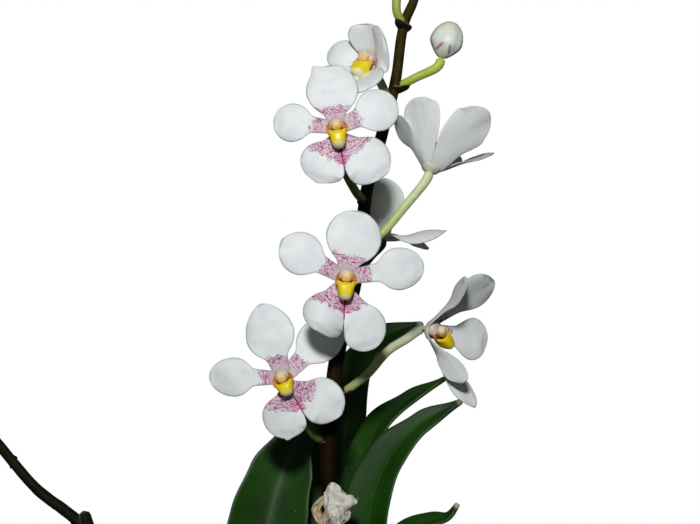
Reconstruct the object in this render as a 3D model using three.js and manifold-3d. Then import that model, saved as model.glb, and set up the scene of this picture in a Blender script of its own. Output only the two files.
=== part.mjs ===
// Potted sarcochilus orchid: a clay pot of bark, leafy stems with roots, two racemes, blooms and buds.
// Millimetres, +Z up. The origin is the middle of the pot's flat underside, and the blooms face -Y.

import * as THREE from 'three';
import { mergeVertices } from 'three/addons/utils/BufferGeometryUtils.js';
import Module from 'manifold-3d';

const wasm = await Module();
wasm.setup();

// Air between neighbouring pieces that touch on the real plant
const gap = 0.35;

const pot = {
  height: 92,
  footRadius: 37,
  bodyRadius: 47,
  rimRadius: 52.5,
  rimHeight: 17,
  wall: 4.5,
  floor: 7,
  sides: 24,
  holes: 4,
  holeRadius: 4.5,
  holeCircle: 19,
};

const goldenAngle = Math.PI * (3 - Math.sqrt(5));

const bark = { edgeTop: 79, middleTop: 82, chips: 19, length: 17, width: 11, height: 7, seed: 11 };

const leafThickness = 1.4;
const tepalThickness = 0.7;
const pedicelRadius = 1.05;

const colours = {
  clay: 0xb5653f,
  bark: 0x6b432a,
  stem: 0x4c6420,
  leaf: 0x14400f,
  rachis: 0x3b2f0c,
  pedicel: 0xa9bf4a,
  tepal: 0xe6eded,
  lip: 0xffd21e,
  bud: 0xe4ead0,
  withered: 0xd9cdb2,
};

const plant = new THREE.Group();

function addPiece(name, geometry, colour, roughness) {
  geometry.computeVertexNormals();
  const material = new THREE.MeshStandardMaterial({ color: colour, roughness, metalness: 0 });
  const mesh = new THREE.Mesh(geometry, material);
  mesh.name = name;
  plant.add(mesh);
}

function vector(list) {
  return new THREE.Vector3(...list);
}

// A small repeatable random source, 0 to 1
function randomFrom(seed) {
  let state = seed;
  return () => {
    state = (state * 1664525 + 1013904223) % 4294967296;
    return state / 4294967296;
  };
}

function solidOf(geometry) {
  const bare = geometry.clone();
  bare.deleteAttribute('normal');
  bare.deleteAttribute('uv');
  const merged = mergeVertices(bare, 1e-4);
  const vertProperties = new Float32Array(merged.attributes.position.array);
  const triVerts = new Uint32Array(merged.index.array);
  return new wasm.Manifold(new wasm.Mesh({ numProp: 3, vertProperties, triVerts }));
}

function geometryOf(solid) {
  const mesh = solid.getMesh();
  const geometry = new THREE.BufferGeometry();
  geometry.setAttribute('position', new THREE.BufferAttribute(mesh.vertProperties, mesh.numProp));
  geometry.setIndex(new THREE.BufferAttribute(mesh.triVerts, 1));
  return geometry;
}

function fuse(geometries) {
  return geometries.map(solidOf).reduce((sum, next) => sum.add(next));
}

// Cutting a clearance can leave loose scraps, which are dropped
function largestPart(solid) {
  const parts = solid.decompose();
  return parts.reduce((best, next) => (next.volume() > best.volume() ? next : best));
}

// A round stalk along a smooth curve, with a radius for each of its points, and an allowance all round it
function stalk(points, radii, sides, steps, allowance = 0) {
  const curve = new THREE.CatmullRomCurve3(points.map(vector), false, 'centripetal');
  const frames = curve.computeFrenetFrames(steps, false);
  const geometry = new THREE.CylinderGeometry(1, 1, 1, sides, steps);
  const position = geometry.attributes.position;
  for (let i = 0; i < position.count; i += 1) {
    const along = THREE.MathUtils.clamp(position.getY(i) + 0.5, 0, 1);
    const step = Math.round(along * steps);
    const station = along * (radii.length - 1);
    const before = Math.min(Math.floor(station), radii.length - 2);
    const radius = allowance + THREE.MathUtils.lerp(radii[before], radii[before + 1], station - before);
    const past = (step === steps ? allowance : 0) - (step === 0 ? allowance : 0);
    const place = curve.getPointAt(along).addScaledVector(frames.tangents[step], past);
    place.addScaledVector(frames.normals[step], position.getX(i) * radius);
    place.addScaledVector(frames.binormals[step], -position.getZ(i) * radius);
    position.setXYZ(i, place.x, place.y, place.z);
  }
  return geometry;
}

// A thin closed blade about surface(u, v), u across from -1 to 1 and v along, both faces split alike
function blade(surface, thickness, columns, rows) {
  const step = 1e-3;
  const row = columns + 1;
  const face = row * rows.length;
  const points = [];
  for (const side of [0.5, -0.5]) {
    for (const v of rows) {
      for (let column = 0; column <= columns; column += 1) {
        const u = (2 * column) / columns - 1;
        const across = surface(u + step, v).sub(surface(u - step, v));
        const along = surface(u, Math.min(v + step, 1)).sub(surface(u, Math.max(v - step, 0)));
        const normal = across.cross(along).normalize();
        points.push(...surface(u, v).addScaledVector(normal, side * thickness).toArray());
      }
    }
  }
  const triangles = [];
  const quad = (a, b, c, d) => triangles.push(a, b, c, a, c, d);
  for (let r = 0; r < rows.length - 1; r += 1) {
    for (let c = 0; c < columns; c += 1) {
      const a = r * row + c;
      triangles.push(a, a + 1, a + row + 1, a, a + row + 1, a + row);
      triangles.push(face + a, face + a + row + 1, face + a + 1);
      triangles.push(face + a, face + a + row, face + a + row + 1);
    }
    const left = r * row;
    const right = left + columns;
    quad(face + left, left, left + row, face + left + row);
    quad(right, face + right, face + right + row, right + row);
  }
  const last = row * (rows.length - 1);
  for (let c = 0; c < columns; c += 1) {
    quad(face + c, face + c + 1, c + 1, c);
    quad(face + last + c + 1, face + last + c, last + c, last + c + 1);
  }
  const geometry = new THREE.BufferGeometry();
  geometry.setAttribute('position', new THREE.Float32BufferAttribute(points, 3));
  geometry.setIndex(triangles);
  return geometry;
}

// Reads a smooth value from a short list of evenly spaced ones
function profile(values, v) {
  const station = v * (values.length - 1);
  const before = Math.min(Math.floor(station), values.length - 2);
  const part = station - before;
  const ease = part * part * (3 - 2 * part);
  return THREE.MathUtils.lerp(values[before], values[before + 1], ease);
}

// Clay pot: a turned wall and rim, with drainage holes round the middle of the floor
function potGeometry() {
  const rimFoot = pot.height - pot.rimHeight;
  const outline = [
    [0, 0],
    [pot.footRadius - 1.5, 0],
    [pot.footRadius, 1.5],
    [pot.bodyRadius, rimFoot],
    [pot.rimRadius - 1, rimFoot + 1],
    [pot.rimRadius, rimFoot + 3],
    [pot.rimRadius, pot.height - 2],
    [pot.rimRadius - 1.5, pot.height],
    [pot.bodyRadius - pot.wall + 4, pot.height],
    [pot.bodyRadius - pot.wall + 3, pot.height - 2],
    [pot.bodyRadius - pot.wall + 1.5, rimFoot],
    [pot.footRadius - pot.wall + 1, pot.floor],
    [0, pot.floor],
  ];
  const turned = new THREE.LatheGeometry(outline.map(([r, z]) => new THREE.Vector2(r, z)), pot.sides);
  turned.rotateX(Math.PI / 2);
  let solid = solidOf(turned);
  for (let i = 0; i < pot.holes; i += 1) {
    const turn = ((i + 0.5) * 2 * Math.PI) / pot.holes;
    const drill = new THREE.CylinderGeometry(pot.holeRadius, pot.holeRadius, pot.floor * 3, 10);
    drill.rotateX(Math.PI / 2);
    drill.translate(pot.holeCircle * Math.cos(turn), pot.holeCircle * Math.sin(turn), pot.floor / 2);
    solid = solid.subtract(solidOf(drill));
  }
  return geometryOf(solid);
}

// Short leafy stems, leaning slightly, and the thick roots that arch from them into the bark
const stems = {
  a: {
    foot: [1.5, 8, 64],
    top: [2.4, 7.5, 112],
    roots: [
      [[2.5, 6, 87], [7, -3, 91.5], [13, -11, 90], [17, -17, 81], [18, -19, 68]],
      [[0.5, 7, 85], [-7, -3, 91], [-12, -13, 89], [-14, -20, 78], [-14, -22, 66]],
      [[3, 9, 86], [10, 18, 91.5], [17, 25, 88], [21, 28, 76], [21, 29, 66]],
    ],
  },
  b: {
    foot: [-19, 13, 64],
    top: [-20.8, 13.8, 106],
    roots: [
      [[-20.5, 12, 86], [-24, 2, 91], [-28, -7, 88], [-30, -13, 78], [-30, -15, 66]],
      [[-20, 15, 85], [-24, 23, 90.5], [-28, 27, 87], [-28, 28, 76], [-27, 28, 66]],
    ],
  },
  c: {
    foot: [22, 3, 64],
    top: [25, 1, 107],
    roots: [
      [[24.5, 1, 84], [31, -6, 90.5], [35, -12, 86], [35, -15, 76], [34, -15, 66]],
      [[22.5, 5, 85], [28, 13, 90.5], [31, 20, 86], [32, 23, 76], [31, 24, 66]],
    ],
  },
};
const stemRadius = 4;
const rootRadius = 1.8;

function stemSolid({ foot, top, roots }, allowance) {
  const middle = vector(foot).lerp(vector(top), 0.5).toArray();
  const pieces = [stalk([foot, middle, top], [stemRadius, stemRadius, stemRadius * 0.9], 8, 3, allowance)];
  const rootRadii = [1, 1, 1, 0.9, 0.7].map((share) => share * rootRadius);
  for (const root of roots) {
    pieces.push(stalk(root, rootRadii, 6, 7, allowance));
  }
  return fuse(pieces);
}

// Bark medium: a domed bed that fills the pot, studded with chips, with a plain hole for each stem and root
function barkGeometry() {
  const random = randomFrom(bark.seed);
  const rimFoot = pot.height - pot.rimHeight;
  const innerFoot = pot.footRadius - pot.wall + 1;
  const innerTop = pot.bodyRadius - pot.wall + 1.5;
  const outline = [
    [0, pot.floor + gap],
    [innerFoot - gap, pot.floor + gap],
    [innerTop - 2 * gap, rimFoot],
    [innerTop - gap, bark.edgeTop],
    [innerTop * 0.6, (bark.edgeTop + bark.middleTop) / 2 + 0.6],
    [0, bark.middleTop],
  ];
  const bed = new THREE.LatheGeometry(outline.map(([r, z]) => new THREE.Vector2(r, z)), pot.sides);
  bed.rotateX(Math.PI / 2);
  const pieces = [bed];
  for (let i = 0; i < bark.chips; i += 1) {
    const length = bark.length * (0.7 + 0.6 * random());
    const width = bark.width * (0.7 + 0.6 * random());
    const chip = new THREE.BoxGeometry(length, width, bark.height);
    chip.deleteAttribute('normal');
    chip.deleteAttribute('uv');
    const hewn = mergeVertices(chip, 1e-4);
    const corner = hewn.attributes.position;
    for (let k = 0; k < corner.count; k += 1) {
      const shift = () => 0.75 + 0.4 * random();
      corner.setXYZ(k, corner.getX(k) * shift(), corner.getY(k) * shift(), corner.getZ(k) * shift());
    }
    hewn.rotateX((random() - 0.5) * 0.7);
    hewn.rotateY((random() - 0.5) * 0.7);
    hewn.rotateZ(random() * Math.PI);
    const reach = (innerTop - gap - 0.62 * length) * Math.sqrt((i + 0.5) / bark.chips);
    const turn = i * goldenAngle;
    hewn.translate(reach * Math.cos(turn), reach * Math.sin(turn), bark.middleTop - 0.5 + 1.5 * random());
    pieces.push(hewn);
  }
  let solid = fuse(pieces);
  for (const stem of Object.values(stems)) {
    solid = solid.subtract(stemSolid(stem, gap));
  }
  return geometryOf(largestPart(solid));
}

// Leaves clasp a stem at their foot and arch away. Each has the stem that it grows from, the height and heading
// of its foot, its width, where its upper face looks at the tip, and its midrib's points after the foot.
const leafRows = [0, 0.06, 0.18, 0.33, 0.48, 0.63, 0.78, 0.91, 1];
const leafWidths = [0.42, 0.54, 0.78, 0.95, 1, 0.98, 0.9, 0.74, 0.42, 0.1];
const clasp = stemRadius + gap + leafThickness / 2 + 0.3;

const leaves = {
  leaf_a1: {
    stem: 'a', foot: 90, heading: 2, width: 12, look: [-0.3, -0.45, 0.85],
    path: [[14.5, 3.5, 116], [17, 2, 136], [19, 1.5, 148], [22.5, 1, 153.5], [26.5, 0.5, 160.5]],
  },
  leaf_a2: {
    stem: 'a', foot: 94, heading: 198, width: 13.5, look: [0.3, 0.2, 0.93],
    path: [[-8.5, 2, 109], [-16, -6.5, 118], [-26, -22, 124], [-36, -39, 121], [-43, -52, 111]],
  },
  leaf_a3: {
    stem: 'a', foot: 98, heading: -48, width: 12.5, look: [-0.55, -0.75, 0.35],
    path: [[8, 0.5, 124], [6.8, -0.5, 142], [7, -0.5, 157], [11, 0, 169], [18, 0, 177], [27.5, 0, 182.8]],
  },
  leaf_a4: {
    stem: 'a', foot: 103, heading: 182, width: 12, look: [0.5, -0.1, 0.86],
    path: [[-6.5, 5, 116], [-10.5, -1, 126], [-19, -12, 134], [-31, -24, 136], [-41, -34, 128]],
  },
  leaf_a5: {
    stem: 'a', foot: 106, heading: 38, width: 10.5, look: [-0.55, -0.6, 0.6],
    path: [[8, 13.5, 126], [8, 14.5, 150], [9.5, 14, 168], [15, 13.5, 180], [24.2, 12, 188.4]],
  },
  leaf_a6: {
    stem: 'a', foot: 101, heading: 104, width: 13.5, look: [-0.6, -0.7, 0.4],
    path: [
      [-1.5, 19, 122], [-3, 23.5, 142], [-1.8, 24.5, 162], [2, 24.5, 177], [7.4, 24, 190.4], [13, 23, 198],
      [20.2, 22, 201],
    ],
  },
  leaf_b1: {
    stem: 'b', foot: 91, heading: 200, width: 13.5, look: [0.3, 0.1, 0.95],
    path: [[-30, 9, 108], [-38, 5, 118], [-54, -1, 125], [-74, -7, 121], [-87, -11, 108]],
  },
  leaf_b2: {
    stem: 'b', foot: 93, heading: 24, width: 13, look: [-0.4, -0.3, 0.86],
    path: [[-11.5, 18, 110], [-9.5, 28, 128], [-5, 43, 142], [5, 57, 144], [14, 69, 135]],
  },
  leaf_b3: {
    stem: 'b', foot: 97, heading: 292, width: 17.5, look: [0.1, -0.85, 0.5],
    path: [
      [-21.5, 6, 119], [-21.6, 5.5, 136], [-20, 6, 148], [-16.2, 7, 159.5], [-11, 8, 169.5], [-3.8, 8, 178],
    ],
  },
  leaf_b4: {
    stem: 'b', foot: 101, heading: 97, width: 13, look: [0.2, -0.4, 0.88],
    path: [[-24.5, 23, 118], [-29, 32, 131], [-38, 45, 139], [-51, 58, 139], [-61, 67, 130]],
  },
  leaf_c1: {
    stem: 'c', foot: 91, heading: -8, width: 13.5, look: [-0.35, 0, 0.94],
    path: [[34.5, -1, 107], [43, -3, 119], [58, -6, 127], [76, -9, 124], [89, -12, 111]],
  },
  leaf_c2: {
    stem: 'c', foot: 93, heading: 215, width: 12.5, look: [0.3, 0.5, 0.8],
    path: [[17, -6, 109], [12, -14, 120], [3, -28, 129], [-6, -44, 128], [-12, -57, 119]],
  },
  leaf_c3: {
    stem: 'c', foot: 98, heading: 68, width: 13.5, look: [-0.3, -0.3, 0.9],
    path: [[32, 10, 116], [37, 17, 129], [47, 29, 139], [59, 43, 139], [69, 54, 129]],
  },
  leaf_c4: {
    stem: 'c', foot: 100, heading: -72, width: 12, look: [-0.1, 0.3, 0.95],
    path: [[28, -9, 115], [33, -16, 125], [42, -28, 133], [53, -43, 134], [62, -56, 126]],
  },
};

function leafGeometry({ stem, foot, heading, width, look, path }) {
  const base = vector(stems[stem].foot);
  const rise = vector(stems[stem].top).sub(base).normalize();
  const turn = THREE.MathUtils.degToRad(heading);
  const outward = new THREE.Vector3(Math.cos(turn), Math.sin(turn), 0).projectOnPlane(rise).normalize();
  const start = base.clone().addScaledVector(rise, (foot - base.z) / rise.z).addScaledVector(outward, clasp);
  const second = start.clone().addScaledVector(rise, 6).addScaledVector(outward, 1);
  const midrib = new THREE.CatmullRomCurve3([start, second, ...path.map(vector)], false, 'centripetal');
  const inward = outward.clone().negate();
  const lookAtTip = vector(look);
  const surface = (u, v) => {
    const tangent = midrib.getTangentAt(v);
    const turned = THREE.MathUtils.smoothstep(v, 0.12, 0.55);
    const facing = inward.clone().lerp(lookAtTip, turned).projectOnPlane(tangent).normalize();
    const sideways = tangent.clone().cross(facing);
    const half = (width / 2) * profile(leafWidths, v);
    const curl = THREE.MathUtils.lerp(1 / clasp, 0.05, Math.min(1, v * 5));
    const swing = u * half * curl;
    const vee = 0.3 * Math.min(1, v * 4) * Math.abs(u) * half;
    return midrib.getPointAt(v)
      .addScaledVector(sideways, Math.sin(swing) / curl)
      .addScaledVector(facing, (1 - Math.cos(swing)) / curl + vee);
  };
  return blade(surface, leafThickness, 4, leafRows);
}

// Racemes: the curve of each, its radii from foot to tip, and on the spent one its bracts and the way they look
const mainRaceme = {
  path: [
    [1.2, 1.4, 97], [-0.3, -2.8, 112], [-2, -6, 132], [-2, -6, 155.8], [-2.6, -6, 172.2], [-1.7, -6, 183.3],
    [-0.4, -5, 194.4], [2.9, -4, 207.8], [4.5, -3, 215.6], [5.8, -2, 229], [9.4, -2, 242.5],
    [12.4, -2, 254.3], [14.3, -2, 267.1], [16.6, -1, 272.8], [18.9, 0, 281.9], [20.2, 0, 290.9],
  ],
  radii: [1.9, 1.85, 1.8, 1.75, 1.6, 1.4, 1.15, 0.8],
};

const spentRaceme = {
  path: [
    [-23.7, 17.7, 94], [-31, 20, 110], [-42, 19, 128], [-52, 17, 143], [-61.2, 15, 154.1], [-70.1, 15, 161],
    [-76.3, 15, 168], [-84.6, 14, 179.3], [-89, 13, 187.9], [-92.3, 12, 197.2], [-94.4, 11, 205.3],
  ],
  radii: [1.7, 1.6, 1.5, 1.35, 1.1, 0.7],
  bracts: [
    [[-47, 18, 136], [-1, 0, 0.3]],
    [[-61.2, 15, 154.1], [0.9, -0.3, 0.35]],
    [[-76.3, 15, 168], [-0.4, -0.3, -0.9]],
    [[-86.5, 13.5, 183], [0.8, -0.2, 0.3]],
    [[-91.5, 12.3, 194.5], [-0.9, -0.2, 0.4]],
    [[-94.4, 11, 205.3], [0, 0, 1]],
  ],
  stub: { path: [[-56, 16.2, 148], [-57.8, 13.5, 151], [-59.4, 12.6, 156.6]], radii: [1.2, 1.7, 1.5] },
};

// A small cup-like bract standing off the stem at a node
function bract(place, side, size) {
  const cone = new THREE.ConeGeometry(size * 0.62, size * 2, 4);
  cone.scale(1, 1, 0.8);
  cone.translate(0, size * 0.35, 0);
  const lean = vector(side).normalize().add(new THREE.Vector3(0, 0, 0.35)).normalize();
  cone.applyQuaternion(new THREE.Quaternion().setFromUnitVectors(new THREE.Vector3(0, 1, 0), lean));
  cone.translate(...place);
  return cone;
}

// Blooms. The tepals are dorsal, left petal, right petal, left sepal and right sepal, each with its direction
// counter-clockwise about the face, its length, its width and, where it differs, its own rise. rise lifts
// them forward out of the flat, and droop bends their tips back.
const opened = { rise: 0.14, droop: 0.16, cup: 0.1 };

const blooms = {
  a: {
    centre: [-0.6, -20, 242.9], face: [-0.02, -0.99, 0.12], lip: 278, form: opened,
    tepals: [[95, 14.3, 11.2], [173, 14.2, 8.7], [21, 14, 9.6], [241, 12.8, 9.8], [313, 15, 10]],
    node: [5.4, -2, 227.9], by: [[3.6, -8, 229.5], [0.4, -14.5, 236]],
  },
  b: {
    centre: [1.2, -24, 210.6], face: [0.1, -0.99, 0.06], lip: 264, form: opened,
    tepals: [[79, 15.2, 12.2], [153, 15.6, 9.7], [9.5, 17.6, 9.8], [239, 13, 9.6], [292, 16.6, 10.6]],
    node: [2.7, -4, 205.5], by: [[2.6, -9, 204.6], [1.5, -16, 207.6]],
  },
  c: {
    centre: [-12.2, -14, 188.7], face: [-0.12, -0.99, 0.04], lip: 302, form: opened,
    tepals: [[107.5, 17.4, 11], [178.5, 16.8, 9], [43, 15.2, 9.4], [273, 14, 9.8], [332, 15, 9.9]],
    node: [-3.1, -6, 174.2], by: [[-5.4, -7, 175.4], [-9.5, -8.4, 181.4]],
  },
  d: {
    centre: [6.8, -7.2, 254.8], face: [-0.55, -0.66, 0.52], lip: 280,
    form: { rise: 0.95, droop: 0.42, cup: 0.3 },
    tepals: [[85, 13.6, 11.4], [160, 13.4, 9.8], [15, 12, 9], [232, 12, 9.8], [300, 12, 10.4]],
    node: [10.6, -2, 246.6], by: [[11, -4.6, 249.6]],
  },
  f: {
    centre: [20.6, 2.4, 235.8], face: [0.3, 0.5, 0.81], lip: 264,
    form: { rise: 0.9, droop: 0.3, cup: 0.2 },
    tepals: [[299, 16.5, 11.6], [9, 17, 9.6], [229, 17, 9.6], [88, 17.4, 11], [148, 18.6, 11.5]],
    node: [4.7, -3, 216.7], by: [[9.5, -2.4, 220.5], [14.5, -1, 226.4]],
  },
  g: {
    centre: [9.6, 12, 219.8], face: [0.2, 0.45, 0.87], lip: 267,
    form: { rise: 0.3, droop: 0.3, cup: 0.15 },
    tepals: [[110, 14, 11.6, 0.95], [180, 15.4, 9.6], [350, 12, 9.4], [238, 14, 10, 0.5], [296, 14, 10]],
    node: [4.4, -3, 214.5], by: [[5, 2.6, 211.6], [7.6, 8, 214]],
  },
  h: {
    centre: [20.4, 3.4, 199.2], face: [0.93, -0.28, 0.2], lip: 262,
    form: { rise: 0.9, droop: 0.3, cup: 0.18 },
    tepals: [
      [56, 17.5, 11], [122, 16.5, 10.4, 0.8], [-8, 15.5, 10], [236, 15.5, 10, 0.7], [277, 18.5, 10, 0.6],
    ],
    node: [0.9, -6, 185.1], by: [[4.4, -7.4, 187.6], [10, -4, 193.4]],
  },
};

const tepalRows = [0, 0.24, 0.42, 0.58, 0.75, 0.91, 1];

// The heart of a bloom: the seat that holds the tepals, and the column in the middle with its cap
const heart = {
  seatFront: 2.4,
  seatBack: 1.6,
  seatDepth: 1.9,
  columnRadius: 1.25,
  columnTop: 3.8,
  capRadius: 1.5,
};

const lipShape = {
  start: 2.15,
  length: 3,
  half: 2.2,
  thickness: 0.8,
  knobRadius: 1.25,
  knobOut: 4.3,
  knobUp: 3.3,
};

// The face of a bloom: z looks out of it, y points to its top
function bloomFrame({ centre, face }) {
  const z = vector(face).normalize();
  const y = new THREE.Vector3(0, 0, 1).projectOnPlane(z).normalize();
  const x = y.clone().cross(z);
  return new THREE.Matrix4().makeBasis(x, y, z).setPosition(...centre);
}

// A tepal has a narrow claw that widens into a round blade
function tepal([turn, length, width, ownRise], { rise, droop, cup }, phase) {
  const lean = ownRise ?? rise;
  const start = 1.5;
  const bladeMiddle = 0.68;
  const bladeReach = 0.335;
  const surface = (u, v) => {
    const claw = 0.24 + 0.5 * v;
    const round = Math.sqrt(Math.max(0, 1 - ((v - bladeMiddle) / bladeReach) ** 2));
    const half = (width / 2) * (v < bladeMiddle ? Math.max(claw, round) : round);
    const out = start + (length - start) * v * (1 - 0.18 * lean * v);
    const lift = length * (lean * v - droop * v * v) * 0.9;
    const wave = 0.35 * v * u * Math.sin(5 * v + phase);
    return new THREE.Vector3(out, u * half, lift + cup * u * u * half + wave);
  };
  const geometry = blade(surface, tepalThickness, 3, tepalRows);
  geometry.rotateZ(THREE.MathUtils.degToRad(turn));
  return geometry;
}

function bloomGeometry(bloom) {
  const pieces = bloom.tepals.map((shape, i) => tepal(shape, bloom.form, i * 1.7));
  const lipSide = THREE.MathUtils.degToRad(bloom.lip);
  const down = (distance) => [distance * Math.cos(lipSide), distance * Math.sin(lipSide)];
  const seat = new THREE.CylinderGeometry(heart.seatFront, heart.seatBack, heart.seatDepth, 8);
  seat.rotateX(Math.PI / 2);
  pieces.push(seat);
  const column = [[0, 0, -0.4], [...down(0.1), heart.columnTop / 2], [...down(0.5), heart.columnTop]];
  pieces.push(stalk(column, [1, 0.96, 1.04].map((share) => share * heart.columnRadius), 6, 2));
  const cap = new THREE.SphereGeometry(heart.capRadius, 6, 4);
  cap.translate(...down(0.6), heart.columnTop + 0.3);
  pieces.push(cap);
  const solid = fuse(pieces);
  const geometry = geometryOf(solid);
  geometry.applyMatrix4(bloomFrame(bloom));
  return geometry;
}

// The lip: a small scoop below the column with raised side lobes and a thick blunt tip
function lipGeometry(bloom) {
  const forward = (bloom.form.rise - opened.rise) * 1.1;
  const scoop = (u, v) => {
    const half = lipShape.half * profile([0.5, 1, 0.95, 0.5], v);
    const out = lipShape.start + lipShape.length * v + 0.5 * forward;
    const lift = 2.3 + 2.2 * v - 1.4 * v * v + forward * (out - 1.1);
    return new THREE.Vector3(out, u * half, lift + 1.7 * u * u * (1 - 0.5 * v));
  };
  const knob = new THREE.SphereGeometry(lipShape.knobRadius, 5, 3);
  knob.scale(1, 1.15, 0.8);
  knob.translate(lipShape.knobOut, 0, lipShape.knobUp + forward * 3.2);
  const geometry = geometryOf(fuse([blade(scoop, lipShape.thickness, 4, [0, 0.45, 1]), knob]));
  geometry.rotateZ(THREE.MathUtils.degToRad(bloom.lip));
  geometry.applyMatrix4(bloomFrame(bloom));
  return geometry;
}

// A pedicel starts on the rachis, swells slightly towards the bloom and ends just behind its seat
function pedicelPath(bloom) {
  const back = bloom.seat ?? heart.seatDepth / 2 + gap;
  const end = new THREE.Vector3(0, 0, -back).applyMatrix4(bloomFrame(bloom));
  const before = new THREE.Vector3(0, 0, -back - 3).applyMatrix4(bloomFrame(bloom));
  return [bloom.node, ...bloom.by, before.toArray(), end.toArray()];
}

function pedicel(path, allowance) {
  const radii = [0.85, 0.9, 1, 1.15].map((share) => share * pedicelRadius);
  return stalk(path, radii, 6, 6, allowance);
}

// Buds, each a little longer than wide: the open raceme's three youngest
const budLength = 1.15;
const buds = {
  e: {
    centre: [24, -2, 263.7], face: [0.32, 0, 0.95], size: 3.75,
    node: [13.2, -2, 253.4], by: [[17.2, -2.6, 255.4]],
  },
  i: {
    centre: [12.4, -3.6, 281], face: [-0.1, 0, 1], size: 3,
    node: [14.2, -2, 267.3], by: [[12.7, -3.4, 270]],
  },
  j: {
    centre: [22.3, 0.4, 297.4], face: [0.25, 0.1, 1], size: 2.4,
    node: [20.2, 0, 290.9], by: [],
  },
};

function budGeometry(bud) {
  const geometry = new THREE.SphereGeometry(bud.size, 12, 7);
  const position = geometry.attributes.position;
  for (let i = 0; i < position.count; i += 1) {
    const turn = Math.atan2(position.getZ(i), position.getX(i));
    const seam = 1 - 0.05 * Math.cos(3 * turn) ** 8;
    const height = position.getY(i) / bud.size;
    const taper = 1 - 0.1 * height;
    const girth = seam * taper;
    position.setXYZ(i, position.getX(i) * girth, position.getY(i) * budLength, position.getZ(i) * girth);
  }
  geometry.rotateX(Math.PI / 2);
  geometry.applyMatrix4(bloomFrame(bud));
  return geometryOf(solidOf(geometry));
}

// A withered bloom hangs against the stem: crumpled papery tepals round a shrunken core
const withered = { centre: [-0.6, -12.5, 161], node: [-1.9, -6, 158], seed: 5 };

function witheredSolid() {
  const random = randomFrom(withered.seed);
  const pieces = [];
  const core = new THREE.SphereGeometry(2.4, 5, 3);
  core.scale(1, 0.8, 1.2);
  pieces.push(core);
  for (let i = 0; i < 4; i += 1) {
    const phase = random() * 6;
    const surface = (u, v) => {
      const half = 2.6 * profile([0.6, 1, 0.9, 0.35], v);
      const fold = 0.7 * Math.sin(7 * v + phase) + 0.5 * Math.sin(4 * u + phase);
      return new THREE.Vector3(1 + fold * v, u * half, 3.6 - 7.5 * v);
    };
    const scrap = blade(surface, tepalThickness, 2, [0, 0.5, 1]);
    scrap.translate(0.9, 0, 0);
    scrap.rotateZ((i * 2 * Math.PI) / 4 + 0.3 * random());
    pieces.push(scrap);
  }
  const placed = pieces.map((piece) => piece.translate(...withered.centre));
  const stub = stalk([withered.node, [-1.4, -9, 160.5], withered.centre], [0.9, 0.9, 1], 6, 3);
  return fuse([...placed, stub]);
}

function racemeSolid({ path, radii }, allowance) {
  return solidOf(stalk(path, radii, 6, Math.round(path.length * 1.25), allowance));
}

// Put together
addPiece('pot', potGeometry(), colours.clay, 0.85);
addPiece('bark_bed', barkGeometry(), colours.bark, 0.9);
for (const [name, stem] of Object.entries(stems)) {
  addPiece(`stem_${name}`, geometryOf(stemSolid(stem, 0)), colours.stem, 0.5);
}
for (const [name, leaf] of Object.entries(leaves)) {
  addPiece(name, leafGeometry(leaf), colours.leaf, 0.3);
}

const carried = { ...blooms, ...buds };
for (const bud of Object.values(buds)) {
  bud.seat = bud.size * budLength + gap;
}
const rachisClearance = racemeSolid(mainRaceme, gap);
let rachis = racemeSolid(mainRaceme, 0);
const nodes = Object.values(carried).map((bloom) => ({ place: bloom.node, path: pedicelPath(bloom) }));
for (const { place, path } of nodes) {
  const side = vector(path[1]).sub(vector(place)).normalize();
  rachis = rachis.add(solidOf(bract(place, side.toArray(), 1.9)));
}
for (const { path } of nodes) {
  rachis = rachis.subtract(solidOf(pedicel(path, gap)).subtract(racemeSolid(mainRaceme, 0)));
}
rachis = rachis.subtract(stemSolid(stems.a, gap));
addPiece('raceme_main', geometryOf(largestPart(rachis)), colours.rachis, 0.5);

let spent = racemeSolid(spentRaceme, 0);
for (const [place, side] of spentRaceme.bracts) {
  spent = spent.add(solidOf(bract(place, side, 1.8)));
}
spent = spent.add(solidOf(stalk(spentRaceme.stub.path, spentRaceme.stub.radii, 7, 4)));
spent = spent.subtract(stemSolid(stems.b, gap));
addPiece('raceme_spent', geometryOf(largestPart(spent)), colours.rachis, 0.6);

for (const [name, bloom] of Object.entries(blooms)) {
  addPiece(`bloom_${name}`, bloomGeometry(bloom), colours.tepal, 0.5);
  addPiece(`lip_${name}`, lipGeometry(bloom), colours.lip, 0.4);
}
for (const [name, bud] of Object.entries(buds)) {
  addPiece(`bud_${name}`, budGeometry(bud), colours.bud, 0.45);
}
for (const [name, bloom] of Object.entries(carried)) {
  const stalkSolid = solidOf(pedicel(pedicelPath(bloom), 0)).subtract(rachisClearance);
  addPiece(`pedicel_${name}`, geometryOf(largestPart(stalkSolid)), colours.pedicel, 0.45);
}
const crumpled = largestPart(witheredSolid().subtract(rachisClearance));
addPiece('withered_bloom', geometryOf(crumpled), colours.withered, 0.8);

export default plant;
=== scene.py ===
from math import atan2, copysign, cos, degrees, exp, hypot, pi, radians, sin, sqrt, tan

import bmesh
import bpy
from mathutils import Matrix, Vector, noise


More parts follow.
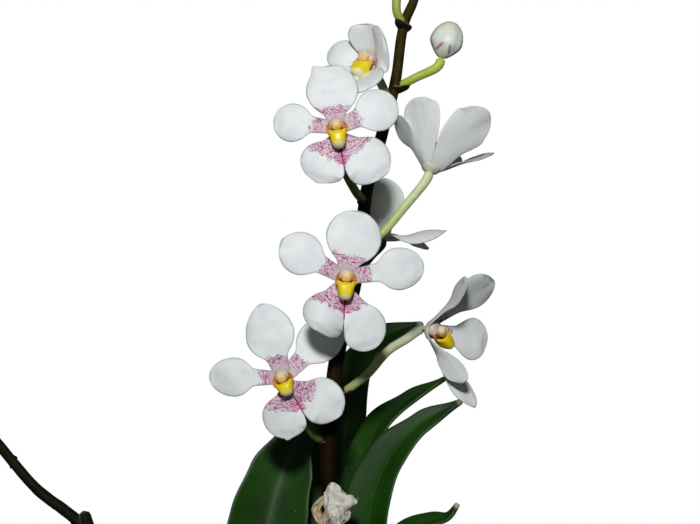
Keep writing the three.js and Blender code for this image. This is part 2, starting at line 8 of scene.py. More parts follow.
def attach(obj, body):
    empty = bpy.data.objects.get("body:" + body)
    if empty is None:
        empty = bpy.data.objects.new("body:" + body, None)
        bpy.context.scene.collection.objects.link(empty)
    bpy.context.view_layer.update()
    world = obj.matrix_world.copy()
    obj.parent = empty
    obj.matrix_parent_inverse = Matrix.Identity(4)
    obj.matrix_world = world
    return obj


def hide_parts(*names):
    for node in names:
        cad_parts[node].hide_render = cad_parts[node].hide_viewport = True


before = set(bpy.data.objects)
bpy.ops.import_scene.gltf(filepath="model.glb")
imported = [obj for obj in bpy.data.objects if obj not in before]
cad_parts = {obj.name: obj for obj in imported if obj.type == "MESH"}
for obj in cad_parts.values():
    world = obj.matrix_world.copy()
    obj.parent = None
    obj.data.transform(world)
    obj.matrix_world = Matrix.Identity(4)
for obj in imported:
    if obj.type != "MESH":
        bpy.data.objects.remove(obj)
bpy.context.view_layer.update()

mm = 0.001  # lengths below are millimetres on the plant; meshFrom turns meshes to metres
up = Vector((0, 0, 1))


# General helpers

def linear(hexValue):
    channels = [int(hexValue[i:i + 2], 16) / 255 for i in (1, 3, 5)]
    return [c / 12.92 if c <= 0.04045 else ((c + 0.055) / 1.055) ** 2.4 for c in channels]


def paint(hexValue):
    return (*linear(hexValue), 1.0)


def repeatable(seed):
    # the same small random source that places the chips of the solid bed
    factor, step, span = 1664525, 1013904223, 4294967296
    state = seed

    def draw():
        nonlocal state
        state = (state * factor + step) % span
        return state / span

    return draw


def mix(a, b, share):
    return a + (b - a) * share


def blend(first, second, share):
    return [mix(a, b, share) for a, b in zip(first, second)]


def ease(value, low, high):
    # 0 below low, 1 above high, and a soft rise between them
    share = min(1.0, max(0.0, (value - low) / (high - low)))
    return share * share * (3 - 2 * share)


def between(values, v):
    # the two values of an evenly spaced list on either side of v, and how far v lies past the first one
    station = min(max(v, 0.0), 1.0) * (len(values) - 1)
    before = min(int(station), len(values) - 2)
    return values[before], values[before + 1], station - before


def profile(values, v):
    # a smooth value from a short list of evenly spaced ones
    first, second, share = between(values, v)
    return mix(first, second, ease(share, 0, 1))


roughForm = {"steps": (7.3, 3.1, 5.7), "gain": 1.6}  # how far a seed moves the noise, and its strength


def rough(place, seed, size):
    # soft noise from -1 to 1 with lumps of that size
    shift = Vector([seed * step for step in roughForm["steps"]])
    return noise.noise(Vector(place) / size + shift) * roughForm["gain"]


class Route:
    # a smooth centripetal curve through a few points, measured along its length
    def __init__(self, points, fineness=20):
        inner = [Vector(p) for p in points]
        full = [inner[0] * 2 - inner[1], *inner, inner[-1] * 2 - inner[-2]]
        self.points = []
        for i in range(len(inner) - 1):
            p0, p1, p2, p3 = full[i:i + 4]
            d0, d1, d2 = [(b - a).length ** 0.5 for a, b in ((p0, p1), (p1, p2), (p2, p3))]
            m1 = ((p1 - p0) / d0 - (p2 - p0) / (d0 + d1) + (p2 - p1) / d1) * d1
            m2 = ((p2 - p1) / d1 - (p3 - p1) / (d1 + d2) + (p3 - p2) / d2) * d1
            for k in range(fineness):
                t = k / fineness
                ahead = 3 * t ** 2 - 2 * t ** 3
                start = m1 * (t ** 3 - 2 * t ** 2 + t)
                self.points.append(p1 * (1 - ahead) + start + p2 * ahead + m2 * (t ** 3 - t ** 2))
        self.points.append(inner[-1])
        self.lengths = [0.0]
        for a, b in zip(self.points, self.points[1:]):
            self.lengths.append(self.lengths[-1] + (b - a).length)
        self.length = self.lengths[-1]

    def at(self, share):
        wanted = min(max(share, 0.0), 1.0) * self.length
        low, high = 0, len(self.lengths) - 1
        while high - low > 1:
            middle = (low + high) // 2
            low, high = (middle, high) if self.lengths[middle] <= wanted else (low, middle)
        span = self.lengths[high] - self.lengths[low]
        return self.points[low].lerp(self.points[high], (wanted - self.lengths[low]) / span)

    def tangent(self, share):
        ahead = self.at(min(share + 0.01, 1.0))
        return (ahead - self.at(max(share - 0.01, 0.0))).normalized()


def atTurn(turn, reach=1, height=0):
    return Vector((reach * cos(turn), reach * sin(turn), height))


def faceFrame(bloom):
    # z looks out of a bloom's face, y points to its top
    z = Vector(bloom["face"]).normalized()
    y = (up - z * up.dot(z)).normalized()
    turned = Matrix((y.cross(z), y, z)).transposed().to_4x4()
    return Matrix.Translation(Vector(bloom["centre"])) @ turned


def newMesh(*layerNames):
    bm = bmesh.new()
    layers = {name: bm.verts.layers.float_vector.new(name) for name in layerNames}
    layers["thick"] = bm.verts.layers.deform.verify()
    return bm, layers


def addSheet(bm, columns, rows, place):
    # a grid whose points are moved to where place(vert, u, v) puts them, u from -1 to 1 and v from 0 to 1
    verts = bmesh.ops.create_grid(bm, x_segments=columns, y_segments=rows, size=1.0)["verts"]
    for vert in verts:
        place(vert, vert.co.x, (vert.co.y + 1) / 2)
    return verts


def addStalk(bm, route, radiusAt, sides, steps, mark=None, shapeAt=None):
    # a round stalk along a route, closed at both ends: a grid that is rolled up and merged at its seam
    frames = []
    side = route.tangent(0).orthogonal().normalized()
    for row in range(steps + 1):
        tangent = route.tangent(row / steps)
        side = (side - tangent * side.dot(tangent)).normalized()
        frames.append((route.at(row / steps), side, tangent.cross(side)))

    def place(vert, u, v):
        centre, across, other = frames[round(v * steps)]
        turn = (u + 1) * pi
        radius = radiusAt(v)
        toEnd = min(v, 1 - v) * route.length / radius
        if toEnd < 1:
            radius *= sqrt(1 - (1 - toEnd) ** 2)
        if shapeAt:
            radius *= shapeAt(v, turn)
        vert.co = centre + (across * cos(turn) + other * sin(turn)) * radius
        if mark:
            mark(vert, v, turn)

    verts = addSheet(bm, sides, steps, place)
    bmesh.ops.remove_doubles(bm, verts=verts, dist=0.002)


def addBall(bm, segments, rings, place):
    # a ball of radius 1 whose points are moved by place(vert)
    verts = bmesh.ops.create_uvsphere(bm, u_segments=segments, v_segments=rings, radius=1.0)["verts"]
    for vert in verts:
        place(vert)
    return verts


def meshFrom(bm, name, looks=(), scale=mm):
    bmesh.ops.scale(bm, vec=(scale, scale, scale), verts=bm.verts)
    mesh = bpy.data.meshes.new(name)
    bm.to_mesh(mesh)
    bm.free()
    for material in looks:
        mesh.materials.append(material)
    return mesh


def putObject(name, data):
    made = bpy.data.objects.new(name, data)
    bpy.context.scene.collection.objects.link(made)
    return made


def finishPiece(bm, name, looks, replaced, subdivision=0, wall=0, smooth=True):
    for face in bm.faces:
        face.smooth = smooth
    piece = putObject(name, meshFrom(bm, name, [materials[look] for look in looks]))
    if wall:
        piece.vertex_groups.new(name="thick")
        skin = piece.modifiers.new("wall", "SOLIDIFY")
        skin.thickness = wall * mm
        skin.offset = 0
        skin.vertex_group = "thick"
        skin.material_offset = len(looks) - 1
    if subdivision:
        finer = piece.modifiers.new("finer", "SUBSURF")
        finer.levels = finer.render_levels = subdivision
    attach(piece, "root")
    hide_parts(*replaced)


# Materials

class Material:
    # a material with one Principled shader; add and the calls that use it give the output of a new node
    def __init__(self, name, roughness, specular=0.5, scatter=None, coat=None):
        self.made = bpy.data.materials.new(name)
        self.made.use_nodes = True
        self.shader = self.made.node_tree.nodes["Principled BSDF"]
        sockets = {"Roughness": roughness, "Specular IOR Level": specular}
        if scatter:
            weight, radius, depth = scatter
            sockets["Subsurface Weight"], sockets["Subsurface Radius"] = weight, radius
            sockets["Subsurface Scale"] = depth * mm
        if coat:
            sockets["Coat Weight"], sockets["Coat Roughness"] = coat
        self.feed(self.shader, sockets)

    def feed(self, node, inputs):
        for key, value in inputs.items():
            if isinstance(value, bpy.types.NodeSocket):
                self.made.node_tree.links.new(value, node.inputs[key])
            else:
                node.inputs[key].default_value = value

    def add(self, kind, inputs, output=0, **settings):
        node = self.made.node_tree.nodes.new("ShaderNode" + kind)
        for name, value in settings.items():
            setattr(node, name, value)
        self.feed(node, inputs)
        return node.outputs[output]

    def stored(self, name, output="Vector"):
        return self.add("Attribute", {}, output, attribute_name=name)

    def place(self):
        return self.add("TexCoord", {}, "Object")

    def split(self, vector):
        return self.add("SeparateXYZ", {0: vector}).node.outputs[:]

    def noise(self, place, scale, detail, distortion=0.0, roughness=0.5):
        return self.add("TexNoise", {
            "Vector": place, "Scale": scale, "Detail": detail,
            "Distortion": distortion, "Roughness": roughness,
        }, "Fac")

    def calculate(self, operation, *values):
        return self.add("Math", dict(enumerate(values)), operation=operation)

    def times(self, *values):
        return self.calculate("MULTIPLY", *values)

    def stretch(self, vector, amounts):
        return self.add("VectorMath", {0: vector, 1: amounts}, operation="MULTIPLY")

    def dim(self, colour, share):
        return self.add("VectorMath", {0: colour, "Scale": share}, operation="SCALE")

    def ramp(self, value, low, high, bottom=0.0, top=1.0, kind="LINEAR"):
        return self.add("MapRange", {
            "Value": value, "From Min": low, "From Max": high, "To Min": bottom, "To Max": top,
        }, interpolation_type=kind)

    def ease(self, *values, **ends):
        return self.ramp(*values, **ends, kind="SMOOTHSTEP")

    def tint(self, share, *tones):
        first, second = [paint(tone) if isinstance(tone, str) else tone for tone in tones]
        return self.add("Mix", {0: share, 6: first, 7: second}, 2, data_type="RGBA")

    def coats(self, colour, *layers):
        # lays one tone after the other over the colour, each by its share
        for share, tone in layers:
            colour = self.tint(share, colour, tone)
        return colour

    def finish(self, colour, height=None, strength=0.0, distance=0.0):
        self.feed(self.shader, {"Base Color": colour})
        if height is not None:
            bump = self.add("Bump", {"Height": height, "Strength": strength, "Distance": distance * mm})
            self.feed(self.shader, {"Normal": bump})
        return self.made


def per(size):
    # the noise scale that gives lumps of that many millimetres
    return 1 / (size * mm)


def tepalFace():
    # Living tepal, upper face: cool white with a fine painted sparkle, light cells standing in for glints,
    # pink at its foot with short magenta strokes across it, and painted shade along its rims. It gives a
    # soft, slightly see-through sheen.
    skin = Material("tepalFace", 0.5, 0.3, scatter=(0.35, (1.0, 1.0, 1.0), 0.5))
    grain = skin.stored("grain")
    out = skin.split(grain)[1]
    aside, below, _ = skin.split(skin.stored("flower"))
    reach, isSepal, toRim = skin.split(skin.stored("mark"))

    # how far out the marked foot reaches, with a ragged border
    wander = skin.calculate("MULTIPLY_ADD", skin.noise(grain, 0.9, 3.0), 3.0, -1.5)
    inward = skin.calculate("SUBTRACT", reach, skin.calculate("ADD", out, wander))
    band = skin.ease(inward, -0.1, 0.4)

    # wavy strokes about 1 mm long and a quarter as wide, lying across the tepal
    strokeNoise = skin.noise(skin.stretch(grain, (1.3, 5.4, 1.0)), 1.0, 1.0, distortion=1.3)
    strokeBand = skin.times(band, skin.ease(out, 2.2, 3.6, bottom=0.1))
    strokes = skin.times(strokeBand, skin.ease(strokeNoise, 0.5, 0.55))

    # the deep flush on the lower sepals, on both sides of the slit below the lip
    offLine = skin.calculate("ABSOLUTE", aside)
    flush = skin.times(skin.ease(offLine, 2.6, 0.2), skin.ease(below, 4.4, 6.2))
    flush = skin.times(skin.times(flush, band), isSepal)

    # the slit itself: dark maroon close to the lip, painted shade for the gap between the claws of the lower
    # sepals, and a thin magenta line further out, the sepals' own colour
    slit = skin.times(skin.ease(offLine, 0.2, 0.08), skin.ease(below, 9.6, 8.4))
    slit = skin.times(slit, isSepal)
    slitTone = skin.tint(skin.ease(below, 7.2, 6.0), "#B8458A", "#4A1420")

    # The cells are drawn a little coarser than they are so that they show; their lightest spots are painted
    # glints
    cells = skin.noise(grain, 2.7, 3.0)
    colour = skin.coats(
        "#E9F0F2",
        (skin.ramp(skin.noise(grain, 0.35, 1.0), 0.3, 0.7), "#F3F8FA"),
        # painted glints: the lightest cells are lit up as if they caught the light
        (skin.ramp(cells, 0.54, 0.68, top=0.7), "#FAFDFE"),
        (skin.times(skin.ease(inward, -0.5, 1.4), 0.75), "#E3C8DA"),
        (skin.ease(out, 3.8, 2.2, top=0.85), "#D2C5C3"),
        (skin.times(flush, 0.6), "#DD74B4"),
        (strokes, skin.tint(flush, "#A02469", "#A0155C")),
        (slit, slitTone),
        # painted shade: grey along the rims, where they roll back from the light
        (skin.ramp(toRim, 0.42, 0.0, top=0.7), "#8F9DA1"),
    )
    return skin.finish(colour, cells, 0.6, 0.07)


def tepalBack():
    # Living tepal, outer face: a white painted lighter than the upper face, painted light for the glow that
    # shines through the thin tepal, with faint lengthwise veins and a green breath at its foot
    skin = Material("tepalBack", 0.55, 0.25, scatter=(0.35, (1.0, 1.0, 1.0), 0.5))
    grain = skin.stored("grain")
    veins = skin.noise(skin.stretch(grain, (1.6, 0.16, 1.0)), 1.0, 2.0)
    foot = skin.ease(skin.split(grain)[1], 4.6, 1.2, top=0.8)
    # these whites are painted light: lighter than those of the upper face
    colour = skin.coats("#EEF4F5", (skin.ease(veins, 0.35, 0.65), "#F7FBFC"), (foot, "#E2E4CE"))
    return skin.finish(colour, skin.noise(grain, 3.0, 3.0), 0.3, 0.05)


def tintedTissue(name, variation, lumpSize, cellSize, *sheen):
    # Living tissue whose colour runs along it: the tint is stored on the mesh, and noise varies it
    skin = Material(name, *sheen)
    place = skin.place()
    share = skin.ramp(skin.noise(place, per(lumpSize), 3.0), 0.3, 0.7, 1 - variation, 1 + variation)
    cells = skin.noise(place, per(cellSize), 2.0)
    return skin.finish(skin.dim(skin.stored("tint", "Color"), share), cells, 0.3, 0.06)


def lipTissue():
    # Waxy lip: bright yellow pouch, cream towards its tip, orange side lobes with red-brown stripes
    skin = Material("lipWax", 0.35, 0.4, (0.15, (1.0, 0.6, 0.2), 0.8))
    stripe = skin.stored("stripe")
    along, strength, _ = skin.split(stripe)
    bent = skin.calculate("MULTIPLY_ADD", skin.noise(stripe, 0.8, 2.0), 1.6, along)
    line = skin.ramp(skin.calculate("SINE", skin.times(bent, 9.0)), 0.1, 0.8)
    return skin.finish(skin.tint(skin.times(line, strength), skin.stored("tint", "Color"), "#A8402C"))


def leafTissue():
    # Glossy leathery leaf: deep green with fine lengthwise veins, a pale line along the sunken midrib that is
    # a painted highlight, sparse pale specks
    skin = Material("leafCuticle", 0.48, 0.36, coat=(0.05, 0.35))
    grain = skin.stored("grain")
    offRib = skin.calculate("ABSOLUTE", skin.split(grain)[0])
    _, toTip, tipTone = skin.split(skin.stored("leaf"))
    veins = skin.noise(skin.stretch(grain, (2.2, 0.05, 1.0)), 1.0, 2.0)
    specks = skin.add("TexVoronoi", {"Vector": grain, "Scale": 0.35}, "Distance")
    colour = skin.coats(
        "#133206",
        (skin.ramp(skin.noise(grain, 0.07, 3.0), 0.35, 0.65), "#1D4C08"),
        (skin.ramp(veins, 0.5, 0.75, top=0.35), "#0F2C08"),
        # painted highlight: a pale line along the midrib, where the crease would reflect the light
        (skin.ease(offRib, 0.35, 0.08, top=0.3), "#47662F"),
        (skin.ramp(specks, 0.09, 0.05, top=0.35), "#7E9A63"),
        (skin.ease(toTip, 0.982, 0.995), skin.tint(tipTone, "#6B3A1C", "#B9C3A2")),
    )
    return skin.finish(colour, veins, 0.25, 0.12)


def witheredTissue():
    # Dried tepals: papery, creased, off-white running to beige, and darker in the creases by painted shade
    skin = Material("driedTepal", 0.8, 0.2)
    creases = skin.noise(skin.place(), per(1.6), 6.0, distortion=1.6)
    # painted shade: the tint is dimmed in the creases
    shade = skin.ramp(creases, 0.3, 0.62, 0.62, 1.05)
    return skin.finish(skin.dim(skin.stored("tint", "Color"), shade), creases, 0.8, 0.35)


def barkMaterial():
    # Pine bark chunks: layered red-brown cork with grey weathered faces, rough and dull
    skin = Material("pineBark", 0.88, 0.2)
    place = skin.place()
    flakes = skin.noise(skin.stretch(place, (per(5), per(5), per(0.9))), 1.0, 5.0)
    cork = skin.dim(skin.stored("tint", "Color"), skin.ramp(flakes, 0.3, 0.7, 0.5, 1.5))
    weathered = skin.ramp(skin.noise(place, per(7), 4.0), 0.52, 0.68, top=0.55)
    return skin.finish(skin.tint(weathered, cork, "#77695C"), flakes, 0.9, 0.5)


def terracotta():
    # Fired clay pot: matte, finely ringed by the wheel, mottled, with a pale bloom of salts low on the wall
    skin = Material("terracotta", 0.85, 0.25)
    place = skin.place()
    clay = skin.tint(skin.ramp(skin.noise(place, per(14), 6.0), 0.3, 0.7), "#A8583A", "#C4744E")
    salts = skin.ramp(skin.noise(place, per(9), 8.0, roughness=0.65), 0.5, 0.72, top=0.75)
    low = skin.ramp(skin.split(place)[2], 60 * mm, 8 * mm)
    rings = skin.noise(skin.stretch(place, (per(40), per(40), per(1.1))), 1.0, 2.0)
    relief = skin.calculate("ADD", rings, skin.noise(place, per(0.7), 2.0))
    return skin.finish(skin.tint(skin.times(low, salts), clay, "#DCC4B0"), relief, 0.5, 0.22)


# tissues: name, variation, sizes of lumps and cells, roughness, specular, and the scatter of light in them
materials = {
    "face": tepalFace(),
    "back": tepalBack(),
    "lip": lipTissue(),
    "leaf": leafTissue(),
    "rachis": tintedTissue("rachisSkin", 0.35, 1.6, 0.5, 0.6, 0.08),
    "pedicel": tintedTissue("pedicelSkin", 0.1, 1.5, 0.4, 0.45, 0.35, (0.15, (0.6, 1.0, 0.3), 0.8)),
    "column": tintedTissue("columnWax", 0.08, 0.8, 0.3, 0.35, 0.4, (0.2, (1.0, 0.7, 0.5), 0.8)),
    "bud": tintedTissue("budSkin", 0.05, 1.2, 0.3, 0.42, 0.35, (0.2, (1.0, 1.0, 0.7), 1.0)),
    "withered": witheredTissue(),
    "stem": tintedTissue("leafBaseSheath", 0.3, 2.5, 0.6, 0.6, 0.3),
    "root": tintedTissue("velamen", 0.16, 2.0, 0.5, 0.75, 0.25),
    "bark": barkMaterial(),
    "clay": terracotta(),
}
print("materials ready")


# Camera and light: the photograph is a flash close-up from straight in front, level with the blooms

camera = {"place": (2.25, -480, 214), "halfWidth": 78.75, "distance": 480, "near": 0.02, "far": 40}
lights = {
    # name: place, target, size, watts, colour
    "flash": ((-20, -520, 420), (0, 0, 200), 62, 2.25, "#FFFFFF"),
    "frontFill": ((-300, -1300, 500), (0, 0, 150), 800, 0.25, "#FFFFFF"),
    "back": ((0, 1500, 300), (0, 0, 140), 700, 2.4, "#FFFFFF"),
}
# radii in metres, and the strength of the world's light
studio = {"floor": 1.1, "backdrop": 8.0, "paperTo": 0.16, "whiteFrom": 0.75, "world": 0.04}


def addLight(name, place, target, size, watts, tone):
    data = bpy.data.lights.new(name, "AREA")
    data.size = size * mm
    data.energy = watts
    data.color = linear(tone)
    lamp = putObject(name, data)
    lamp.location = Vector(place) * mm
    aim = Vector(target) * mm - lamp.location
    lamp.rotation_euler = aim.to_track_quat("-Z", "Y").to_euler()
    # the lamp behind the plant brightens rims, and its reflection would draw white lines on the leaves
    lamp.visible_glossy = name != "back"


def addCamera():
    data = bpy.data.cameras.new("camera")
    data.lens = data.sensor_width * camera["distance"] / (2 * camera["halfWidth"])
    data.clip_start, data.clip_end = camera["near"], camera["far"]
    body = putObject("camera", data)
    body.location = Vector(camera["place"]) * mm
    body.rotation_euler = (pi / 2, 0, 0)
    bpy.context.scene.camera = body


addCamera()
for lightName, settings in lights.items():
    addLight(lightName, *settings)

bpy.context.scene.view_settings.view_transform = "Standard"
world = bpy.data.worlds.new("studio")
world.use_nodes = True
background = world.node_tree.nodes["Background"]
background.inputs["Color"].default_value = paint("#FFFFFF")
background.inputs["Strength"].default_value = studio["world"]
bpy.context.scene.world = world


def whiteGlow(name, floor):
    # paper-white studio surface; the floor turns from matte paper to plain white towards its edge
    skin = Material(name, 0.9)
    skin.feed(skin.shader, {"Base Color": paint("#F4F4F4")})
    surface = skin.add("Emission", {"Color": paint("#FFFFFF"), "Strength": 1.0})
    if floor:
        reach = skin.add("VectorMath", {0: skin.place()}, "Value", operation="LENGTH")
        share = skin.ease(reach, studio["paperTo"], studio["whiteFrom"])
        surface = skin.add("MixShader", {0: share, 1: skin.shader.outputs[0], 2: surface})
    skin.feed(skin.made.node_tree.nodes["Material Output"], {"Surface": surface})
    return skin.made


def addStage():
    bm = bmesh.new()
    bmesh.ops.create_circle(bm, cap_ends=True, radius=studio["floor"], segments=96)
    floor = putObject("floor", meshFrom(bm, "floor", [whiteGlow("paperFloor", True)], 1))
    bm = bmesh.new()
    bmesh.ops.create_uvsphere(bm, u_segments=48, v_segments=24, radius=studio["backdrop"])
    bmesh.ops.reverse_faces(bm, faces=bm.faces)
    backdrop = putObject("backdrop", meshFrom(bm, "backdrop", [whiteGlow("paperBackdrop", False)], 1))
    for each in (floor, backdrop):
        # the stage is only seen: the world and the lamps light the plant
        each.visible_diffuse = each.visible_glossy = each.visible_transmission = False
    backdrop.visible_shadow = False


addStage()
print("camera, light and stage ready")


# Blooms

tepalForm = {
    "columns": 16, "rows": 24, "wall": 0.5,
    "start": 1.4,       # how far out a tepal begins
    "roll": 0.2,        # how far the rims roll back
    "ripple": 0.26, "rippleSize": 4.5,
    "keel": 0.12,       # the low ridge along the middle
    "shorten": 0.18,    # how much less far out a rising tepal reaches
    "lift": 0.9,
    "leastClaw": 0.12, "thinRim": 0.45,
    "tipArc": 0.985,    # short of the very tip, which would be a point
    # share of the width at the foot, and how much it gains outwards
    "claw": {"dorsal": (0.3, 0.3), "petal": (0.32, 0.2), "sepal": (-0.1, 1.0)},
    "reach": {"dorsal": 5.2, "petal": 5.8, "sepal": 7.4},  # how far out the marks go
    "wobble": 0.6,      # how ragged their border is
}
tepalKinds = ["dorsal", "petal", "petal", "sepal", "sepal"]
tepalUsual = {
    "rise": 0.14, "droop": 0.16, "cup": 0.1, "middle": 0.67, "point": 0, "foot": 0, "twist": 0, "gap": 0,
    "full": 0.62, "marks": 1, "joined": 10.4, "inner": 1.06, "corner": (0, 0, 10),
}

# lip and slit = their directions in the face, lipLength = share of the usual length, stalk = its two
# tones. Tepals: direction counter-clockwise about the face, length, width, and what differs from the usual
# ones: middle = where it is widest, point = how pointed its tip is, foot = wider claw, full = the most of the
# width that the claw takes, marks = share of their usual reach, corner = height, direction and spread in
# degrees of a corner on its round end. Of two lower sepals: joined = how far out they touch, inner = width
# of the half at the slit, gap = how far they part near their feet. Of the pedicel: node = where it leaves
# the rachis, by = points that it passes, straight = length of its straight end
blooms = {
    "a": {
        "centre": (-0.6, -20, 242.9), "face": (-0.02, -0.99, 0.12), "lip": 278, "slit": 281,
        "form": {"joined": 10.3, "inner": 1.2},
        "tepals": [
            (97, 14.2, 11.3, {"middle": 0.6, "corner": (0.26, 31, 9)}), (173, 14.1, 8.5, {"middle": 0.7}),
            (24, 14.5, 9.5, {}),
            (248, 12.7, 9.6, {"middle": 0.68, "point": 0.2, "inner": 1.24, "corner": (0.07, 10, 12)}),
            (314, 14.9, 10, {"corner": (0.06, 12, 14)}),
        ],
        "node": (5.4, -2, 227.9), "by": [(3.6, -8, 229.5), (0.4, -14.5, 236)],
        "stalk": ("#3F4D1A", "#7F8E44"),
    },
    "b": {
        "centre": (1.2, -24, 210.6), "face": (0.1, -0.99, 0.06), "lip": 266, "slit": 268,
        "tepals": [
            (77.5, 15.1, 12, {"middle": 0.61}), (151, 16, 9.3, {"middle": 0.68, "corner": (0.06, -8, 12)}),
            (9.5, 17.7, 9.2, {}),
            (241, 13.2, 9.6, {
                "middle": 0.7, "foot": 0.25, "cup": -0.3, "inner": 1.3, "corner": (0.1, 46, 18)}),
            (290, 16.8, 9.8, {"middle": 0.69}),
        ],
        "node": (2.7, -4, 205.5), "by": [(2.6, -9, 204.6), (1.5, -16, 207.6)],
        "stalk": ("#5D6F24", "#97A94E"),
    },
    "c": {
        "centre": (-12.2, -14, 188.7), "face": (-0.12, -0.99, 0.04), "lip": 291, "slit": 300,
        "form": {"joined": 10.6, "inner": 1.16}, "lipLength": 0.76,
        "tepals": [
            (108, 17.4, 10.9, {"middle": 0.58, "point": 0.45}), (179.5, 17, 8.6, {"middle": 0.65}),
            (48, 16, 9.8, {"rise": -0.3}), (271, 13.5, 9.6, {"middle": 0.65, "corner": (0.12, 9, 8)}),
            (331, 15.1, 9.6, {"middle": 0.65, "corner": (0.06, -10, 13)}),
        ],
        "node": (-3.1, -6, 174.2), "by": [(-5.4, -7, 175.4), (-9.5, -8.4, 181.4)],
        "stalk": ("#3F5A20", "#7C944A"),
    },
    "d": {
        "centre": (6.5, -7.2, 257.7), "face": (-0.4, -0.8, 0.4), "lip": 266, "slit": 272,
        "form": {"rise": 1, "droop": 0.45, "cup": 0.3, "middle": 0.62, "inner": 1.2, "marks": 0.5},
        "tepals": [
            (89, 8.7, 7.8, {"rise": 1.2, "droop": 0.4, "cup": 0.4}),
            (165, 10.8, 7.4, {"rise": 0.6, "droop": 0.3, "cup": 0.1}),
            (18, 8.4, 10.6, {"rise": 1.15, "droop": 0.4, "full": 0.9, "foot": 0.4, "twist": 25}),
            (242, 12.4, 10, {}), (286, 12.6, 10.4, {"rise": 0.95}),
        ],
        "node": (10.6, -2, 246.6), "by": [(10.6, -2.6, 250.4)],
        "stalk": ("#8C9A4C", "#C2CC8E"),
    },
    "f": {
        "centre": (20.4, 2.4, 235), "face": (0.3, 0.5, 0.81), "lip": 118, "slit": 118,
        "form": {"rise": 1.1, "droop": 0.3, "cup": 0.2, "joined": 13, "inner": 1.0, "full": 0.84},
        "lipLength": 0.7,
        "tepals": [
            (299, 15, 11, {"rise": 1.35}), (37, 14.6, 7.9, {"point": 0.5, "rise": 1.05}),
            (226, 15.6, 7.5, {"point": 0.8, "rise": 0.98, "droop": 0.15, "twist": 35}),
            (82, 14.9, 9.4, {"rise": 1.15, "middle": 0.66, "gap": 0.2, "foot": 0.3, "inner": 1.1}),
            (157, 16.8, 9.8, {
                "middle": 0.6, "gap": 0.2, "foot": 0.5, "inner": 1.05, "corner": (0.14, 0, 22)}),
        ],
        "node": (4.7, -3, 216.7), "by": [(9.5, -2.4, 220.5), (14.5, -1, 226.4)],
        "stalk": ("#AEC948", "#E6EDC4"),
    },
    "g": {
        "centre": (9.6, 6.4, 220), "face": (0.06, 0.12, 0.99), "lip": 318, "slit": 267,
        "form": {"rise": 0.2, "droop": 0.15, "cup": 0.15},
        "tepals": [
            (110, 10.8, 10.2, {"rise": 1.4}),
            (172, 17, 8, {"point": 0.7, "middle": 0.44, "rise": -0.1, "droop": -0.14, "twist": 34, "cup": 0,
                          "foot": 0.9, "full": 0.95}),
            (350, 12, 9.4, {}), (205, 10.6, 8, {"rise": -0.1, "twist": 18, "foot": 0.6, "full": 0.9}),
            (296, 14, 10, {}),
        ],
        "node": (4.4, -3, 214.5), "by": [(5.2, 0.8, 213.4), (7.4, 4.4, 215.8)], "straight": 0.6,
        # the stalk of g is dark: painted shade, for it lies in shadow behind the rachis
        "stalk": ("#23280F", "#3A4219"),
    },
    "h": {
        "centre": (20, 3.4, 198.6), "face": (0.95, -0.25, -0.1), "lip": 315, "slit": 256,
        "form": {"rise": 1.15, "droop": 0.3, "cup": 0.18, "joined": 6},
        "tepals": [
            (62, 18.2, 10.6, {"rise": 1.02, "twist": -20, "corner": (0.14, -24, 12)}),
            (112, 16.4, 9, {"rise": 0.9, "twist": 18, "point": 0.1}), (-9, 15, 9.8, {"middle": 0.71}),
            (238, 14.6, 7.6, {"rise": 0.85, "droop": 0.05, "twist": -55, "cup": 0.2}),
            (268, 18.6, 7.4, {"rise": 0.7, "droop": -0.04, "point": 0.6, "twist": 45}),
        ],
        "node": (0.9, -6, 185.1), "by": [(6, -6.6, 189), (10.8, -3, 194.2), (15, 0.6, 196.7)],
        "straight": 0.4,
        "stalk": ("#A4B266", "#EAEED2"),
    },
}


